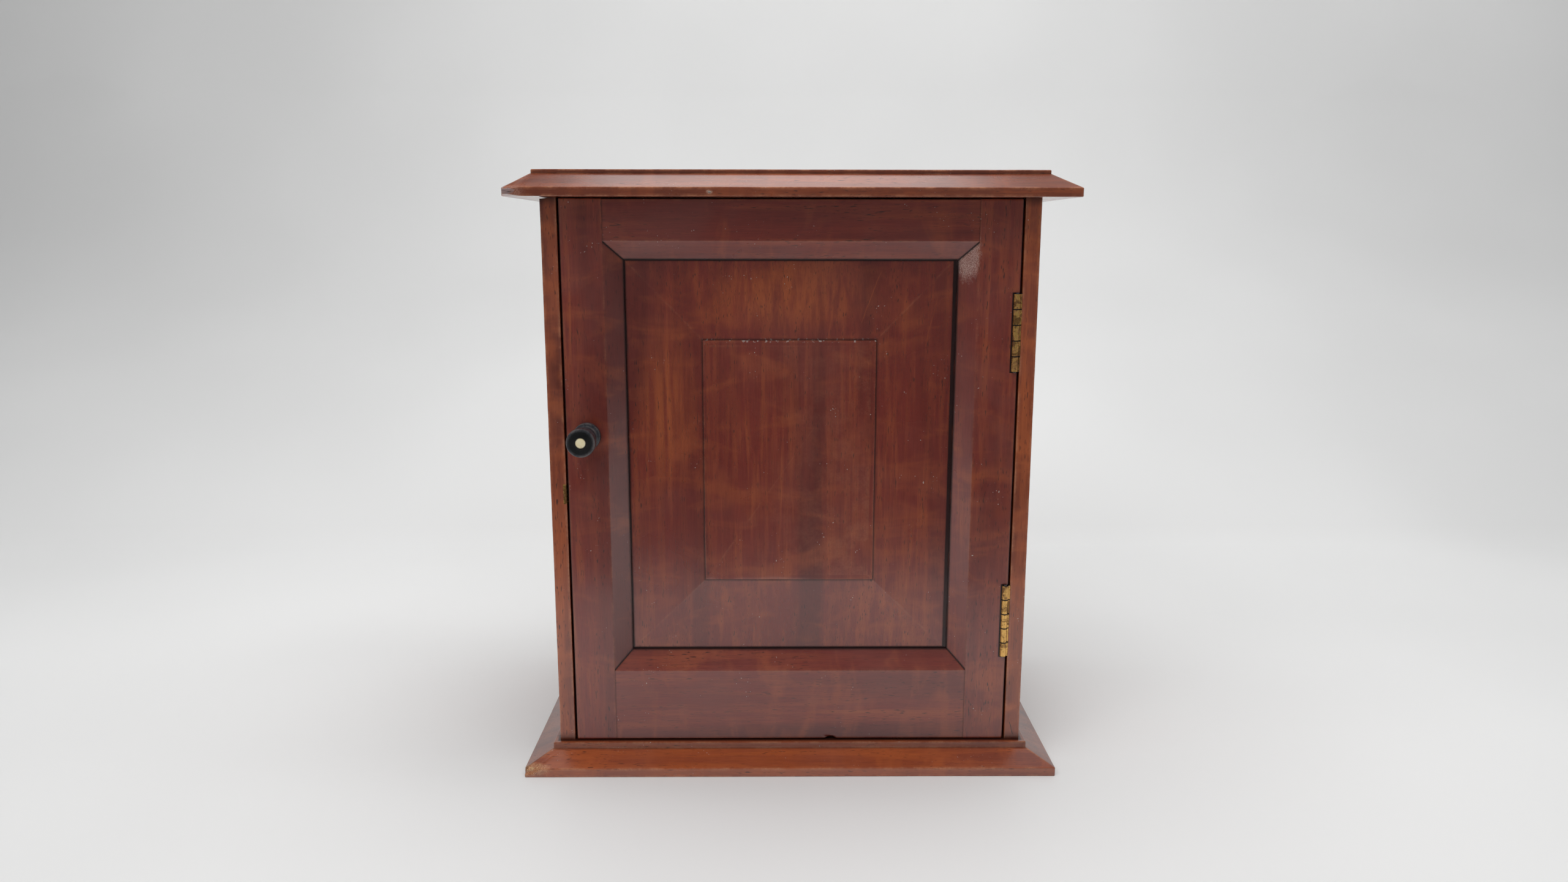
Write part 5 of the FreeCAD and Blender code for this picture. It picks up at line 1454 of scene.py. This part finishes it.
class ARMOIRE_OT_stage(bpy.types.Operator):
    """Rolls out the pale backdrop, hangs the soft lights and stands the camera"""

    bl_idname = "armoire.stage"
    bl_label = "Backdrop, lights and camera"

    def execute(self, context):
        scene = context.scene
        self.backdrop()
        self.card()
        self.lights(scene)
        self.camera(scene)
        scene.view_settings.view_transform = "Standard"
        scene.view_settings.look = "None"
        return {"FINISHED"}

    def sheet(self, name, points, faces, finish):
        """A sheet of paper or card, from its points and faces."""
        mesh = bpy.data.meshes.new(name)
        mesh.from_pydata(points.reshape(-1, 3).tolist(), [], faces)
        mesh.materials.append(finish.material)
        sheet = bpy.data.objects.new(name, mesh)
        bpy.context.scene.collection.objects.link(sheet)
        return sheet

    def backdrop(self):
        """Paper carried sideways: a level floor, a short bend, a slope up behind, and a
        longer bend into a wall."""
        profile, _ = softened(PAPER, PAPER_BENDS, steps=24)
        grid = np.empty((len(profile), 2, 3))
        grid[..., X] = [-PAPER_HALF_WIDTH, PAPER_HALF_WIDTH]
        grid[..., Y] = profile[:, :1]
        grid[..., Z] = profile[:, 1:]
        index = np.arange(len(profile) * 2).reshape(-1, 2)
        faces = np.stack([index[:-1, 0], index[:-1, 1], index[1:, 1], index[1:, 0]], axis=-1)
        paper = Finish("pale_paper", 0.75)
        tone = sizes_of("armoire_colours").wall
        soft = paper.span(paper.noise(paper.place, 1.6, 2.0), 0.3, 0.7)
        paper.set("Base Color", paper.over(soft, scaled(tone, 0.93), tone))
        sheet = self.sheet("backdrop", grid, faces.tolist(), paper)
        sheet.data.shade_smooth()

    def card(self):
        """A black card lying in front, which only polished surfaces see. It keeps the pale
        floor out of the door's reflection, and shades nothing."""
        across = [-CARD_HALF_WIDTH, CARD_HALF_WIDTH]
        grid = np.stack(np.meshgrid(across, [CARD_NEAR, CARD_EDGE], [CARD_HEIGHT]), axis=-1)
        black = Finish("black_card", 0.9)
        black.set("Base Color", black.over(black.noise(black.place, 3.0, 2.0), grey(0.02),
                                           grey(0.035)))
        sheet = self.sheet("flag", grid, [[0, 1, 3, 2]], black)
        for ray in ("camera", "diffuse", "shadow", "transmission", "volume_scatter"):
            setattr(sheet, "visible_" + ray, False)

    def lights(self, scene):
        """Wide soft lights overhead, in front and on the wall, a mirrored pair behind, and
        dim air all round."""
        for row in LAMPS:
            lamp = bpy.data.lights.new(row.name, "AREA")
            lamp.shape = "RECTANGLE"
            lamp.size, lamp.size_y = row.size
            lamp.energy = row.watts
            stand = bpy.data.objects.new(row.name, lamp)
            stand.location = row.place
            stand.rotation_euler = row.turn
            stand.visible_glossy = row.mirrored
            scene.collection.objects.link(stand)
        world = bpy.data.worlds.new("room")
        world.use_nodes = True
        air = world.node_tree.nodes["Background"]
        air.inputs["Color"].default_value = AIR_COLOUR
        air.inputs["Strength"].default_value = AIR_STRENGTH
        scene.world = world

    def camera(self, scene):
        """A camera looking along its turned Y axis, level but for a slight roll."""
        lens = bpy.data.cameras.new("camera")
        lens.sensor_width = SENSOR_MM
        lens.lens = LENS_MM
        lens.clip_start = 0.01
        stand = bpy.data.objects.new("camera", lens)
        turn = (Matrix.Rotation(CAMERA_YAW, 3, "Z") @ Matrix.Rotation(CAMERA_PITCH, 3, "X")
                @ Matrix.Rotation(CAMERA_ROLL, 3, "Y"))
        columns = Matrix((turn.col[0], turn.col[2], -turn.col[1])).transposed()
        stand.matrix_world = Matrix.Translation(CAMERA_PLACE) @ columns.to_4x4()
        scene.collection.objects.link(stand)
        scene.camera = stand


# ---------------------------------------------------------------- the add-on


MAKERS = (ARMOIRE_OT_base, ARMOIRE_OT_top, ARMOIRE_OT_sides, ARMOIRE_OT_stiles,
          ARMOIRE_OT_rails, ARMOIRE_OT_panel, ARMOIRE_OT_knob, ARMOIRE_OT_catch,
          ARMOIRE_OT_hinges, ARMOIRE_OT_inside, ARMOIRE_OT_pegs, ARMOIRE_OT_linings,
          ARMOIRE_OT_stage)
GROUPS = (("armoire_case", CaseSizes), ("armoire_door", DoorSizes),
          ("armoire_fittings", FittingSizes), ("armoire_colours", FinishColours))


class ARMOIRE_PT_panel(bpy.types.Panel):
    """Lists the armoire's settings and its makers"""

    bl_idname = "ARMOIRE_PT_panel"
    bl_label = "Jewelry armoire"
    bl_space_type = "VIEW_3D"
    bl_region_type = "UI"
    bl_category = "Armoire"

    def draw(self, context):
        for label, group in GROUPS:
            box = self.layout.box()
            box.label(text=group.__doc__)
            for field in group.__annotations__:
                box.prop(getattr(context.scene, label), field)
        for maker in MAKERS:
            self.layout.operator(maker.bl_idname)


def register():
    for label, group in GROUPS:
        bpy.utils.register_class(group)
        setattr(bpy.types.Scene, label, PointerProperty(type=group))
    for maker in MAKERS:
        bpy.utils.register_class(maker)
    bpy.utils.register_class(ARMOIRE_PT_panel)


def unregister():
    bpy.utils.unregister_class(ARMOIRE_PT_panel)
    for maker in reversed(MAKERS):
        bpy.utils.unregister_class(maker)
    for label, group in reversed(GROUPS):
        delattr(bpy.types.Scene, label)
        bpy.utils.unregister_class(group)


def main():
    """Registers the add-on and makes every piece in order."""
    register()
    for maker in MAKERS:
        group, name = maker.bl_idname.split(".")
        getattr(getattr(bpy.ops, group), name)()


if __name__ == "__main__":
    main()
